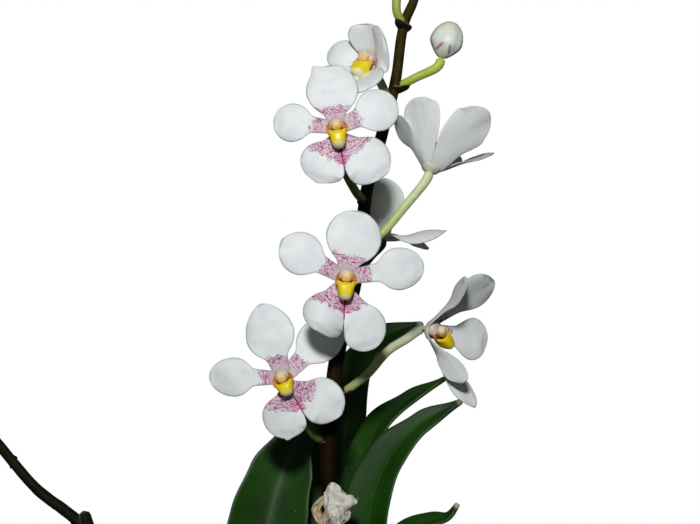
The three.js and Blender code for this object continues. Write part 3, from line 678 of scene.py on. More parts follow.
def addTepal(bm, layers, bloom, index, seed):
    turn, length, width, own = bloom["tepals"][index]
    kind = tepalKinds[index]
    form = {**tepalUsual, **bloom.get("form", {}), **own}
    spin = Matrix.Rotation(radians(turn), 3, "Z")
    below = atTurn(radians(bloom["slit"]))
    aside = Vector((-below.y, below.x, 0))
    middle, start = form["middle"] * length, tepalForm["start"]
    clawFoot, clawGain = tepalForm["claw"][kind]
    cornerHeight, cornerTurn, spread = form["corner"]
    # the slit lies on the side of a lower sepal where u is negative, or positive on the other one
    toSlit = (bloom["slit"] - turn + 180) % 360 - 180
    innerSide = -copysign(1, toSlit) if kind == "sepal" else 0

    def reached(out, share):
        return out * (1 - tepalForm["shorten"] * form["rise"] * share)

    def halfWidth(out, side):
        if out > middle:
            share = min(1, (out - middle) / (length - middle))
            disc = mix(sqrt(1 - share ** 2), (1 - share ** 2) ** 0.95, form["point"])
            half = width / 2 * disc
        else:
            disc = sqrt(max(0, 1 - ((middle - out) / (width * 0.51)) ** 2))
            claw = clawFoot + clawGain * out / middle + form["foot"] * (1 - out / middle)
            claw = min(max(claw, tepalForm["leastClaw"]), form["full"])
            half = width / 2 * (claw ** 5 + disc ** 5) ** 0.2
        if side == innerSide:
            # the inner half of a lower sepal reaches to the slit between the two
            wide = width / 2 * form["inner"]
            if out > middle:
                wide *= disc
            meeting = reached(out, (out - start) / (length - start))
            meeting = meeting * tan(radians(abs(toSlit))) + 0.1
            meeting -= form["gap"] * exp(-((out - 5.5) / 1.6) ** 2)
            half = (max(wide, 0.01) ** -8 + meeting ** -8) ** -0.125
        return half

    def place(vert, u, v):
        # the claw is evenly stepped; the round blade is stepped by angle, so its tip stays round
        if v < 0.5:
            out = mix(start, middle, v / 0.5)
        else:
            out = mix(middle, length, sin((v - 0.5) * pi * tepalForm["tipArc"]))
        share = (out - start) / (length - start)
        side = copysign(1, u)
        half = halfWidth(out, side)
        atSlit = side == innerSide and out < form["joined"]
        across = -u * half
        if out > middle and cornerHeight:
            direction = degrees(atan2(across, out - middle))
            swell = cornerHeight * exp(-((direction - cornerTurn) / spread) ** 2)
            out += (out - middle) * swell
            across *= 1 + swell
        reach = reached(out, share)
        lift = length * (form["rise"] * share - form["droop"] * share ** 2) * tepalForm["lift"]
        rim = max(0 if atSlit else abs(u) ** 3, ease(share, 0.8, 1.02) * 0.8)
        bend = form["cup"] * u * u * half * (1 if side != innerSide else ease(out, 6, 11))
        bend -= tepalForm["roll"] * rim * half * ease(share, 0.3, 0.7)
        waves = rough((out, across, 0), seed, tepalForm["rippleSize"]) * share
        bend += tepalForm["ripple"] * waves * (0.3 if atSlit else 1)
        bend += tepalForm["keel"] * (1 - abs(u)) * ease(share, 0.1, 0.5)
        twist = radians(form["twist"]) * ease(share, 0.1, 0.6)
        turned = across * cos(twist) - bend * sin(twist)
        lift += across * sin(twist) + bend * cos(twist)
        local = spin @ Vector((reach, turned, lift))
        vert.co = local
        vert[layers["grain"]] = (across, hypot(out, across * 0.6), seed * 6.1)
        vert[layers["flower"]] = (local.dot(aside), local.dot(below), local.z)
        # how far a point lies from the rim; the upper face paints shade along the rim from it
        toRim = 3 if atSlit else min(half * (1 - abs(u)), (1 - share) * length * 0.6)
        marked = tepalForm["reach"][kind] * form["marks"]
        marked += tepalForm["wobble"] * rough((across, out, 1), seed + 3, 3)
        vert[layers["mark"]] = (marked, float(kind == "sepal"), toRim)
        vert[layers["thick"]][0] = mix(1.0, tepalForm["thinRim"], max(abs(u) ** 3, ease(share, 0.8, 1.0)))

    addSheet(bm, tepalForm["columns"], tepalForm["rows"], place)


heart = {
    "seatFront": 2.2, "seatBack": 1.5, "seatDepth": 1.9, "columnTop": 3.2, "capRadius": 1.15, "boxy": 2.6,
}


def squared(direction, boxy):
    # the factor that swells a ball towards a box with round corners
    x, y, z = direction
    return (abs(x) ** boxy + abs(y) ** boxy + abs(z) ** boxy) ** (-1 / boxy)


def makeTepals(name, bloom, seed):
    bm, layers = newMesh("grain", "flower", "mark")
    for index in range(5):
        addTepal(bm, layers, bloom, index, seed + index * 1.7)
    bmesh.ops.transform(bm, matrix=faceFrame(bloom), verts=bm.verts)
    finishPiece(bm, f"bloom_{name}_tepals", ["face", "back"],
                [f"bloom_{name}"], subdivision=1, wall=tepalForm["wall"])


def makeColumn(name, bloom):
    # the seat that joins the tepals, the short column with its cream hood, and the pale orange cap on it
    bm, layers = newMesh("tint")
    below = atTurn(radians(bloom["lip"]))
    sideways = Vector((-below.y, below.x, 0))
    tone = {
        "seat": linear("#DDE0CC"), "hood": linear("#E2CDB4"), "hoodTop": linear("#D3C6BE"),
        "cap": linear("#F9CC80"), "pale": linear("#FBE4B8"),
    }

    def seat(vert):
        radius = mix(heart["seatBack"], heart["seatFront"], ease(vert.co.z, -1, 0.4))
        vert.co = Vector((vert.co.x * radius, vert.co.y * radius, vert.co.z * heart["seatDepth"] / 2))
        vert[layers["tint"]] = tone["seat"] if vert.co.z < 0.3 else tone["hood"]

    def hood(vert):
        local = vert.co.copy()
        high = ease(local.y, 0.2, -1.0)
        vert.co = sideways * local.x * mix(1.95, 1.5, high) + below * (local.y * 1.55 - 0.75)
        vert.co += Vector((0, 0, 1.4 + local.z * 1.5 - 0.5 * high))
        vert[layers["tint"]] = blend(tone["hood"], tone["hoodTop"], high)

    def cap(vert):
        local = vert.co.copy()
        groove = 1 - 0.1 * exp(-(local.x / 0.18) ** 2) * (local.z > 0)
        radius = heart["capRadius"]
        square = squared(local, heart["boxy"])
        vert.co = sideways * local.x * radius * square + below * (local.y * radius * square * 1.08 - 0.1)
        vert.co += Vector((0, 0, heart["columnTop"] + local.z * radius * groove))
        pale = ease(local.y, 0.1, -0.7)
        vert[layers["tint"]] = blend(tone["cap"], tone["pale"], pale)

    addBall(bm, 24, 12, seat)
    addBall(bm, 24, 14, hood)
    addBall(bm, 24, 14, cap)
    bmesh.ops.transform(bm, matrix=faceFrame(bloom), verts=bm.verts)
    finishPiece(bm, f"bloom_{name}_column", ["column"], [f"bloom_{name}"])


lipForm = {
    "centre": (2.75, 0, 2.7),    # out from the middle, across, forward
    "radii": (2.0, 1.6, 1.7),
    "square": 3.0,              # how boxy the pouch is
    "rim": 1.25,                # where the pouch opens towards the column
    "wall": 0.35,
    "lobe": {"foot": 1.7, "top": -0.7, "near": 1.5, "far": 2.5, "low": 1.6, "high": 2.9},
}


def makeLip(name, bloom):
    # a scooped pouch that widens to two corners at its mouth, with two striped side lobes behind it
    bm, layers = newMesh("tint", "stripe")
    rise = {**tepalUsual, **bloom.get("form", {})}["rise"]
    forward = (rise - tepalUsual["rise"]) * 0.45
    cx, _, cz = lipForm["centre"]
    rx, ry, rz = lipForm["radii"]
    boxy, rimPlace = lipForm["square"], lipForm["rim"]
    tone = {
        "yellow": linear("#FFE41C"), "deep": linear("#FFCF10"), "cream": linear("#FBF0BE"),
        "lobe": linear("#E8A562"), "lobeFoot": linear("#F2C96C"),
    }

    def pouch(vert):
        x, y, z = vert.co
        square = squared(vert.co, boxy)
        narrow = 1.05 - 0.24 * ease(x * square, -0.7, 1.0)
        vert.co = Vector((cx + x * square * rx, y * square * ry * narrow, cz + z * square * rz))
        vert[layers["thick"]][0] = 1.0

    verts = addBall(bm, 36, 26, pouch)
    bmesh.ops.bisect_plane(
        bm, geom=verts + bm.edges[:] + bm.faces[:], dist=1e-5, plane_co=(rimPlace, 0, cz),
        plane_no=(-1, 0, -0.2), clear_outer=True,
    )
    for vert in bm.verts:
        # the rim dips in its middle and runs out to two points
        x, y, z = vert.co
        toRim = ease(x, rimPlace + 1.3, rimPlace - 0.1)
        corner = toRim * ease(abs(y), 0.9, ry)
        vert.co.x += -0.75 * corner ** 2 + 0.2 * toRim * (1 - corner)
        vert.co.y *= 1 + 0.45 * corner ** 2
        vert.co.z += 0.25 * corner
        cream = ease(x, cx + 0.7, cx + 1.5)
        deep = ease(x, cx - 0.6, cx - 1.6) * 0.7
        base = blend(tone["yellow"], tone["deep"], deep)
        vert[layers["tint"]] = blend(base, tone["cream"], cream)
        vert[layers["stripe"]] = (x, 0, 0)
    lobe = lipForm["lobe"]
    for side in (-1, 1):
        def upright(vert, u, v):
            # v runs up along the column, u runs from the tepals out to the free edge
            free = (u + 1) / 2
            bulge = sin(pi * min(1, 0.12 + 0.88 * v)) ** 0.6
            out = mix(lobe["foot"], lobe["top"], v) - 0.25 * free * v
            across = side * (mix(lobe["near"], lobe["far"], free * bulge) - 0.2 * v)
            height = mix(lobe["low"], lobe["high"], free * (0.75 + 0.25 * bulge))
            vert.co = Vector((out, across, height + 0.12 * sin(v * 9) * free))
            share = ease(v, 0, 0.35)
            vert[layers["tint"]] = blend(tone["lobeFoot"], tone["lobe"], share)
            vert[layers["stripe"]] = (v * 2.6 + 0.5 * free, 0.65 * share, side * 4 + u)
            vert[layers["thick"]][0] = mix(1.0, 0.5, abs(u))

        addSheet(bm, 8, 12, upright)
    lipLength = bloom.get("lipLength", 1)
    for vert in bm.verts:
        vert.co.x = rimPlace + (vert.co.x - rimPlace) * (lipLength if vert.co.x > rimPlace else 1)
        vert.co.z += forward * (vert.co.x - 1.1)
    spin = Matrix.Rotation(radians(bloom["lip"]), 4, "Z")
    bmesh.ops.transform(bm, matrix=faceFrame(bloom) @ spin, verts=bm.verts)
    finishPiece(bm, f"lip_{name}_pouch", ["lip"], [f"lip_{name}"],
                subdivision=1, wall=lipForm["wall"])


for bloomSeed, (bloomName, bloomShape) in enumerate(blooms.items()):
    makeTepals(bloomName, bloomShape, bloomSeed * 11 + 1)
    makeColumn(bloomName, bloomShape)
    makeLip(bloomName, bloomShape)
print("blooms ready")


# Buds

budForm = {"length": 1.15, "seams": 3, "seamDepth": 0.07, "belly": 0.05, "segments": 72, "rings": 48}
buds = {
    "e": {
        "centre": (24, -2, 263.7), "face": (0.32, 0, 0.95), "size": 3.75, "marks": True,
        "node": (13.2, -2, 253.4), "by": [(17.2, -2.6, 255.4)], "stalk": ("#A6C03E", "#BFD05C"),
    },
    "i": {
        "centre": (12.4, -3.6, 281), "face": (-0.1, 0, 1), "size": 3, "marks": False,
        "node": (14.2, -2, 267.3), "by": [(12.7, -3.4, 270)], "stalk": ("#A3BC48", "#B9CC66"),
    },
    "j": {
        "centre": (22.3, 0.4, 297.4), "face": (0.25, 0.1, 1), "size": 2.4, "marks": False,
        "node": (20.2, 0, 290.9), "by": [], "stalk": ("#8FA63E", "#AFC25C"),
    },
}


def makeBud(name, bud):
    bm, layers = newMesh("tint")
    size = bud["size"]
    tone = {
        "body": linear("#EBF1EA"), "top": linear("#E6ECCF"), "foot": linear("#DCE3B4"),
        "mark": linear("#B03A68"),
    }

    def place(vert):
        direction = vert.co.copy()
        turn = atan2(direction.y, direction.x)
        seam = budForm["seamDepth"] * abs(cos(budForm["seams"] / 2 * turn + 0.5)) ** 14
        belly = 1 + budForm["belly"] * cos(budForm["seams"] * turn + 1) * (1 - direction.z ** 2)
        girth = (1 - seam * (1 - direction.z ** 4)) * belly * (1 - 0.1 * direction.z)
        foot = ease(direction.z, -0.1, -1.0)
        girth *= 1 - 0.3 * foot
        vert.co = Vector((direction.x * girth, direction.y * girth, direction.z * budForm["length"])) * size
        tint = blend(tone["body"], tone["top"], ease(direction.z, 0.2, 0.9))
        tint = blend(tint, tone["foot"], ease(direction.z, -0.55, -0.95))
        vert[layers["tint"]] = tint

    addBall(bm, budForm["segments"], budForm["rings"], place)
    bmesh.ops.transform(bm, matrix=faceFrame(bud), verts=bm.verts)
    if bud["marks"]:
        # two short magenta strokes low on the side that faces the viewer
        for vert in bm.verts:
            offset = vert.co - Vector(bud["centre"])
            height = offset.dot(Vector(bud["face"]).normalized())
            beside = offset.x - height * bud["face"][0]
            left = ease(abs(beside + 1.15 - 0.5 * (height + 2)), 0.5, 0.15)
            right = ease(abs(beside - 0.75 + 0.15 * height), 0.32, 0.1)
            level = ease(height, -3.2, -2.6) * ease(height, -0.9, -1.5)
            share = max(left, right) * level * (offset.y < 0) * 0.85
            vert[layers["tint"]] = blend(vert[layers["tint"]], tone["mark"], share)
    finishPiece(bm, f"bud_{name}_skin", ["bud"], [f"bud_{name}"], subdivision=1)


for budName, budShape in buds.items():
    makeBud(budName, budShape)
print("buds ready")


# Pedicels

pedicelForm = {
    "radius": 1.05, "shares": [0.92, 0.93, 0.97, 1.05], "gap": 0.35, "inBloom": 0.3, "straight": 1.4,
    "sides": 14, "leastRows": 12, "rowsPerMm": 1.6, "rib": 0.035,
}


def pedicelRoute(bloom):
    back = bloom["size"] * budForm["length"] if "size" in bloom else heart["seatDepth"] / 2
    straight = bloom.get("straight", pedicelForm["straight"])
    matrix = faceFrame(bloom)
    before = matrix @ Vector((0, 0, -back - pedicelForm["gap"] - straight))
    end = matrix @ Vector((0, 0, -back + pedicelForm["inBloom"]))
    return Route([bloom["node"], *bloom["by"], before, end])


def makePedicel(name, bloom):
    bm, layers = newMesh("tint")
    route = pedicelRoute(bloom)
    low, high = linear(bloom["stalk"][0]), linear(bloom["stalk"][1])

    def radiusAt(v):
        return pedicelForm["radius"] * profile(pedicelForm["shares"], v)

    def ribbed(v, turn):
        return 1 + pedicelForm["rib"] * cos(3 * turn + 2 * v)

    def mark(vert, v, turn):
        vert[layers["tint"]] = blend(low, high, v)

    steps = max(pedicelForm["leastRows"], round(route.length * pedicelForm["rowsPerMm"]))
    addStalk(bm, route, radiusAt, pedicelForm["sides"], steps, mark, ribbed)
    finishPiece(bm, f"pedicel_{name}_skin", ["pedicel"], [f"pedicel_{name}"])


carried = {**blooms, **buds}
for pedicelName, pedicelShape in carried.items():
    makePedicel(pedicelName, pedicelShape)
print("pedicels ready")


# Racemes

mainRaceme = {
    "path": [
        (1.2, 1.4, 97), (-0.3, -2.8, 112), (-2, -6, 132), (-2, -6, 155.8), (-2.6, -6, 172.2),
        (-1.7, -6, 183.3), (-0.4, -5, 194.4), (2.9, -4, 207.8), (4.5, -3, 215.6), (5.8, -2, 229),
        (9.4, -2, 242.5), (12.4, -2, 254.3), (14.3, -2, 267.1), (16.6, -1, 272.8), (18.9, 0, 281.9),
        (20.2, 0, 290.9),
    ],
    "radii": [1.9, 1.85, 1.8, 1.75, 1.6, 1.4, 1.15, 0.8],
    "tones": [
        "#140B06", "#140A06", "#150A05", "#190E05", "#211405", "#281B06", "#2C1F07", "#2F2508", "#372F0B",
        "#5C7026",
    ],
    "bractLook": (1.0, "#21110A"),
}
spentRaceme = {
    "path": [
        (-23.7, 17.7, 94), (-31, 20, 110), (-42, 19, 128), (-52, 17, 143), (-61.2, 15, 154.1),
        (-70.1, 15, 161), (-76.3, 15, 168), (-84.6, 14, 179.3), (-89, 13, 187.9), (-92.3, 12, 197.2),
        (-94.4, 11, 205.3),
    ],
    "radii": [1.7, 1.6, 1.5, 1.35, 1.1, 0.7],
    "tones": ["#1D1A0C", "#1B170B", "#17150A", "#1C1F0C", "#262B10"],
    "bracts": [
        ((-47, 18, 136), (-1, 0, 0.3)), ((-61.2, 15, 154.1), (0.9, -0.3, 0.35)),
        ((-76.3, 15, 168), (-0.4, -0.3, -0.9)), ((-86.5, 13.5, 183), (0.8, -0.2, 0.3)),
        ((-91.5, 12.3, 194.5), (-0.9, -0.2, 0.4)), ((-94.4, 11, 205.3), (0, 0, 1)),
    ],
    "bractLook": (0.72, "#16130B"),
    "stub": (
        [(-56, 16.2, 148), (-57.8, 13.5, 151), (-59.4, 12.6, 156.6)], [1.2, 1.7, 1.5], "#1F1A18", "#7A7B48",
    ),
}
rachisForm = {"sides": 20, "rowsPerMm": 1.3, "corners": 0.03, "bumps": 0.05, "stubSides": 16, "stubRows": 16}
bractForm = {"length": 4.4, "start": -1.7, "sides": 10, "rows": 12, "wall": 0.3, "dry": "#A9805C"}


def toneAt(tones, v):
    first, second, share = between(tones, v)
    return blend(linear(first), linear(second), share)


def addRachis(bm, layers, raceme):
    route = Route(raceme["path"])

    def radiusAt(v):
        return mix(*between(raceme["radii"], v))

    def shapeAt(v, turn):
        bumps = rough((v * 60, cos(turn), sin(turn)), 2, 1.4)
        return 1 + rachisForm["corners"] * cos(4 * turn + 9 * v) + rachisForm["bumps"] * bumps

    def mark(vert, v, turn):
        streak = 0.75 + 0.5 * abs(rough((cos(turn) * 2, sin(turn) * 2, v * 6), 5, 1.0))
        vert[layers["tint"]] = [c * streak for c in toneAt(raceme["tones"], v)]

    steps = round(route.length * rachisForm["rowsPerMm"])
    addStalk(bm, route, radiusAt, rachisForm["sides"], steps, mark, shapeAt)


def addBract(bm, layers, place, side, size, tone):
    # a scoop-like scale that clasps the foot of a pedicel from below and outside, with a dry pale rim
    axis = Vector(side).normalized()
    low = Vector((0, 0, -1)) - axis * Vector((0, 0, -1)).dot(axis)
    low = low.normalized() if low.length > 0.1 else axis.orthogonal().normalized()
    across = axis.cross(low)
    colour, dry = linear(tone), linear(bractForm["dry"])

    def scoop(vert, u, v):
        # the scale wraps the lower half of the pedicel and narrows to a point
        wrap = u * mix(2.3, 1.1, v)
        radius = size * mix(1.25, 1.75, sin(v * pi * 0.6)) * (1 - 0.25 * v * v)
        reach = size * (bractForm["start"] + bractForm["length"] * v * (1 - 0.35 * abs(u) ** 1.5))
        hollow = radius * (1 - ease(v, 0.75, 1.0) * 0.35)
        vert.co = Vector(place) + axis * reach + (low * cos(wrap) + across * sin(wrap)) * hollow
        edge = max(ease(abs(u), 0.8, 1.0), ease(v, 0.93, 1.0)) * ease(v, 0.15, 0.5)
        vert[layers["tint"]] = blend(colour, dry, edge * 0.75)
        vert[layers["thick"]][0] = mix(1.0, 0.5, v)

    addSheet(bm, bractForm["sides"], bractForm["rows"], scoop)


def makeRaceme(name, raceme, bracts):
    bm, layers = newMesh("tint")
    addRachis(bm, layers, raceme)
    if "stub" in raceme:
        path, radii, dark, pale = raceme["stub"]

        def stubTone(vert, v, turn):
            stripe = ease(cos(turn - 2.4), 0.6, 0.9) * ease(v, 0.3, 0.6)
            vert[layers["tint"]] = blend(linear(dark), linear(pale), stripe)

        sides, steps = rachisForm["stubSides"], rachisForm["stubRows"]
        addStalk(bm, Route(path), lambda v: profile(radii, v), sides, steps, stubTone)
    finishPiece(bm, f"raceme_{name}_rachis", ["rachis"], [f"raceme_{name}"])
    bm, layers = newMesh("tint")
    for place, side in bracts:
        addBract(bm, layers, place, side, *raceme["bractLook"])
    finishPiece(bm, f"raceme_{name}_bracts", ["rachis"], [f"raceme_{name}"],
                subdivision=1, wall=bractForm["wall"])


mainBracts = [(bloom["node"], pedicelRoute(bloom).tangent(0.08)) for bloom in carried.values()]
makeRaceme("main", mainRaceme, mainBracts)
makeRaceme("spent", spentRaceme, spentRaceme["bracts"])
print("racemes ready")


# Leaves

leafForm = {
    "columns": 12, "rows": 54, "wall": 1.25,
    "widths": [0.42, 0.54, 0.78, 0.95, 1, 0.98, 0.9, 0.74, 0.42, 0.1],
    "clasp": 5.35,      # how far the foot of a leaf lies from the axis of its stem
    "vee": 0.3,         # how deep it is folded along its midrib
    "closer": 1.35,     # closer rows towards the tip, which keep it round
}
stems = {
    "a": {
        "foot": (1.5, 8, 64), "top": (2.4, 7.5, 112),
        "roots": [
            [(2.5, 6, 87), (7, -3, 91.5), (13, -11, 90), (17, -17, 81), (18, -19, 68)],
            [(0.5, 7, 85), (-7, -3, 91), (-12, -13, 89), (-14, -20, 78), (-14, -22, 66)],
            [(3, 9, 86), (10, 18, 91.5), (17, 25, 88), (21, 28, 76), (21, 29, 66)],
        ],
    },
    "b": {
        "foot": (-19, 13, 64), "top": (-20.8, 13.8, 106),
        "roots": [
            [(-20.5, 12, 86), (-24, 2, 91), (-28, -7, 88), (-30, -13, 78), (-30, -15, 66)],
            [(-20, 15, 85), (-24, 23, 90.5), (-28, 27, 87), (-28, 28, 76), (-27, 28, 66)],
        ],
    },
    "c": {
        "foot": (22, 3, 64), "top": (25, 1, 107),
        "roots": [
            [(24.5, 1, 84), (31, -6, 90.5), (35, -12, 86), (35, -15, 76), (34, -15, 66)],
            [(22.5, 5, 85), (28, 13, 90.5), (31, 20, 86), (32, 23, 76), (31, 24, 66)],
        ],
    },
}
# stem, height and heading of the foot, width, where the upper face looks, tip tone (0 brown, 1 pale), midrib
leaves = {
    "a1": ("a", 90, 2, 14, (-0.45, -0.4, 0.8), 1.0, [
        (11.5, 3.5, 116), (11.5, 3, 134), (13, 2.5, 147.5), (16.6, 1.5, 153.6), (21, 1, 155.4),
        (24.4, 0.7, 156.4), (26.6, 0.5, 159.6)]),
    "a2": ("a", 94, 198, 13.5, (0.3, 0.2, 0.93), 0.0, [
        (-8.5, 2, 109), (-16, -6.5, 118), (-26, -22, 124), (-36, -39, 121), (-43, -52, 111)]),
    "a3": ("a", 98, -48, 14.6, (-0.55, -0.75, 0.35), 0.35, [
        (8, 0.5, 124), (6.8, -0.5, 142), (7, -0.5, 157), (11, 0, 169), (18, 0, 177), (27.5, 0, 182.8)]),
    "a4": ("a", 103, 182, 12, (0.5, -0.1, 0.86), 0.3, [
        (-6.5, 5, 116), (-10.5, -1, 126), (-19, -12, 134), (-31, -24, 136), (-41, -34, 128)]),
    "a5": ("a", 106, 38, 12, (-0.55, -0.6, 0.6), 0.5, [
        (7, 13.5, 126), (5, 14.5, 147), (5.4, 14.2, 163), (9, 14, 175.5), (16, 13.3, 182),
        (24.3, 12, 187.2)]),
    "a6": ("a", 101, 104, 17, (-0.5, -0.75, 0.4), 0.6, [
        (0, 19, 122), (0, 23.5, 142), (0.6, 24.5, 162), (2, 24.5, 177), (4, 24.2, 187.4), (8.6, 23.5, 195),
        (14, 22.7, 197.8), (19.6, 22, 199.4)]),
    "b1": ("b", 91, 200, 13.5, (0.3, 0.1, 0.95), 0.2, [
        (-30, 9, 108), (-38, 5, 118), (-54, -1, 125), (-74, -7, 121), (-87, -11, 108)]),
    "b2": ("b", 93, 24, 13, (-0.4, -0.3, 0.86), 0.0, [
        (-11.5, 18, 110), (-9.5, 28, 128), (-5, 43, 142), (5, 57, 144), (14, 69, 135)]),
    "b3": ("b", 97, 292, 20.6, (0.1, -0.85, 0.5), 0.4, [
        (-20.5, 6, 119), (-19, 5.5, 136), (-17.6, 6, 148), (-15, 7, 160), (-11, 8, 171), (-4.5, 8, 183)]),
    "b4": ("b", 101, 97, 13, (0.2, -0.4, 0.88), 0.1, [
        (-24.5, 23, 118), (-29, 32, 131), (-38, 45, 139), (-51, 58, 139), (-61, 67, 130)]),
    "c1": ("c", 91, -8, 13.5, (-0.35, 0, 0.94), 0.3, [
        (34.5, -1, 107), (43, -3, 119), (58, -6, 127), (76, -9, 124), (89, -12, 111)]),
    "c2": ("c", 93, 215, 12.5, (0.3, 0.5, 0.8), 0.0, [
        (17, -6, 109), (12, -14, 120), (3, -28, 129), (-6, -44, 128), (-12, -57, 119)]),
    "c3": ("c", 98, 68, 13.5, (-0.3, -0.3, 0.9), 0.7, [
        (32, 10, 116), (37, 17, 129), (47, 29, 139), (59, 43, 139), (69, 54, 129)]),
    "c4": ("c", 100, -72, 12, (-0.1, 0.3, 0.95), 0.2, [
        (28, -9, 115), (33, -16, 125), (42, -28, 133), (53, -43, 134), (62, -56, 126)]),
}


def makeLeaf(name, seed, stem, foot, heading, width, look, tipTone, path):
    bm, layers = newMesh("grain", "leaf")
    base = Vector(stems[stem]["foot"])
    rise = (Vector(stems[stem]["top"]) - base).normalized()
    outward = atTurn(radians(heading))
    outward = (outward - rise * outward.dot(rise)).normalized()
    clasp = leafForm["clasp"]
    start = base + rise * ((foot - base.z) / rise.z) + outward * clasp
    midrib = Route([start, start + rise * 6 + outward, *path])
    inward, lookAtTip = -outward, Vector(look)
    rows = leafForm["rows"]
    frames = []
    for row in range(rows + 1):
        v = 1 - (1 - row / rows) ** leafForm["closer"]
        tangent = midrib.tangent(v)
        facing = inward.lerp(lookAtTip, ease(v, 0.12, 0.55))
        facing = (facing - tangent * facing.dot(tangent)).normalized()
        frames.append((v, midrib.at(v), tangent.cross(facing), facing))

    def place(vert, u, row):
        v, centre, sideways, facing = frames[round(row * rows)]
        half = width / 2 * profile(leafForm["widths"], v)
        if v > 0.9:
            half = min(half, width / 2 * 0.55 * sqrt(max(0.0, (1 - v) / 0.1)) + 0.12)
        curl = mix(1 / clasp, 0.05, min(1, v * 5))
        swing = u * half * curl
        vee = leafForm["vee"] * min(1, v * 4) * (sqrt(u * u + 0.012) - 0.11) * half
        ripple = 0.3 * u * u * rough((v * midrib.length, 0, 0), seed, 16) * ease(v, 0.2, 0.5)
        raised = (1 - cos(swing)) / curl + vee + ripple
        vert.co = centre + sideways * (sin(swing) / curl) + facing * raised
        vert[layers["grain"]] = (u * half, v * midrib.length, seed * 9.7)
        vert[layers["leaf"]] = (u, v, tipTone)
        vert[layers["thick"]][0] = mix(1.0, 0.5, abs(u) ** 2)

    addSheet(bm, leafForm["columns"], rows, place)
    finishPiece(bm, f"leaf_{name}_blade", ["leaf"], [f"leaf_{name}"],
                subdivision=1, wall=leafForm["wall"])


for leafSeed, (leafName, leafShape) in enumerate(leaves.items()):
    makeLeaf(leafName, leafSeed + 1, *leafShape)
print("leaves ready")


# Stems and roots

stemForm = {
    "radius": 4, "worn": 0.97, "top": 0.9, "rings": 9, "sides": 40, "rows": 90,
    "rootRadius": 1.8, "rootShares": [1, 1, 1, 0.9, 0.7], "rootSides": 16, "rootRows": 60,
}


def makeStem(name, stem, seed):
    bm, layers = newMesh("tint")
    foot, top = Vector(stem["foot"]), Vector(stem["top"])
    green, brown = linear("#4F6A26"), linear("#7B6238")

    def radiusAt(v):
        return stemForm["radius"] * mix(1, stemForm["top"], ease(v, 0.5, 1.0)) * stemForm["worn"]

    def ringShare(v, turn):
        # the feet of old leaves wrap the stem in overlapping rings
        return (v * stemForm["rings"] + 0.12 * cos(turn + seed)) % 1

    def sheaths(v, turn):
        return 1.0 - 0.05 * ringShare(v, turn) + 0.02 * cos(9 * turn + 4 * v)

    def mark(vert, v, turn):
        dry = min(1, ease(v, 0.85, 0.3) + 0.6 * ease(ringShare(v, turn), 0.75, 1.0))
        vert[layers["tint"]] = blend(green, brown, dry)

    route = Route([foot, (foot + top) / 2, top])
    addStalk(bm, route, radiusAt, stemForm["sides"], stemForm["rows"], mark, sheaths)
    finishPiece(bm, f"stem_{name}_sheaths", ["stem"], [f"stem_{name}"])
    bm, layers = newMesh("tint")
    silver, tip = linear("#B9BBA4"), linear("#7F9A54")
    for index, path in enumerate(stem["roots"]):
        def rootRadius(v):
            return stemForm["rootRadius"] * profile(stemForm["rootShares"], v)

        def knobbly(v, turn):
            return 1 + 0.08 * rough((v * 30, cos(turn), sin(turn)), seed + index, 3)

        def rootMark(vert, v, turn):
            share = ease(rough((v * 40, cos(turn), sin(turn)), seed + index + 9, 6), 0.1, 0.7)
            vert[layers["tint"]] = blend(silver, tip, share * 0.6)

        addStalk(bm, Route(path), rootRadius, stemForm["rootSides"], stemForm["rootRows"], rootMark, knobbly)
    finishPiece(bm, f"stem_{name}_roots", ["root"], [f"stem_{name}"])


for stemSeed, (stemName, stemShape) in enumerate(stems.items()):
    makeStem(stemName, stemShape, stemSeed * 3 + 1)
print("stems and roots ready")


# Withered bloom

withered = {
    "centre": (-0.9, -12.5, 160.5), "node": (-1.9, -6, 158), "by": (-1.4, -9, 160.5), "stalk": 0.95,
    "seed": 5,
    "scraps": [  # width, then foot, bend and end
        (2.0, (-3, -12.5, 162.8), (-5.2, -13.0, 159.8), (-2.4, -13.6, 155.4)),
        (1.7, (-1.8, -14.6, 160.6), (-3.4, -15.2, 157.4), (-0.6, -14.6, 153.6)),
    ],
    "wall": 0.25,
}


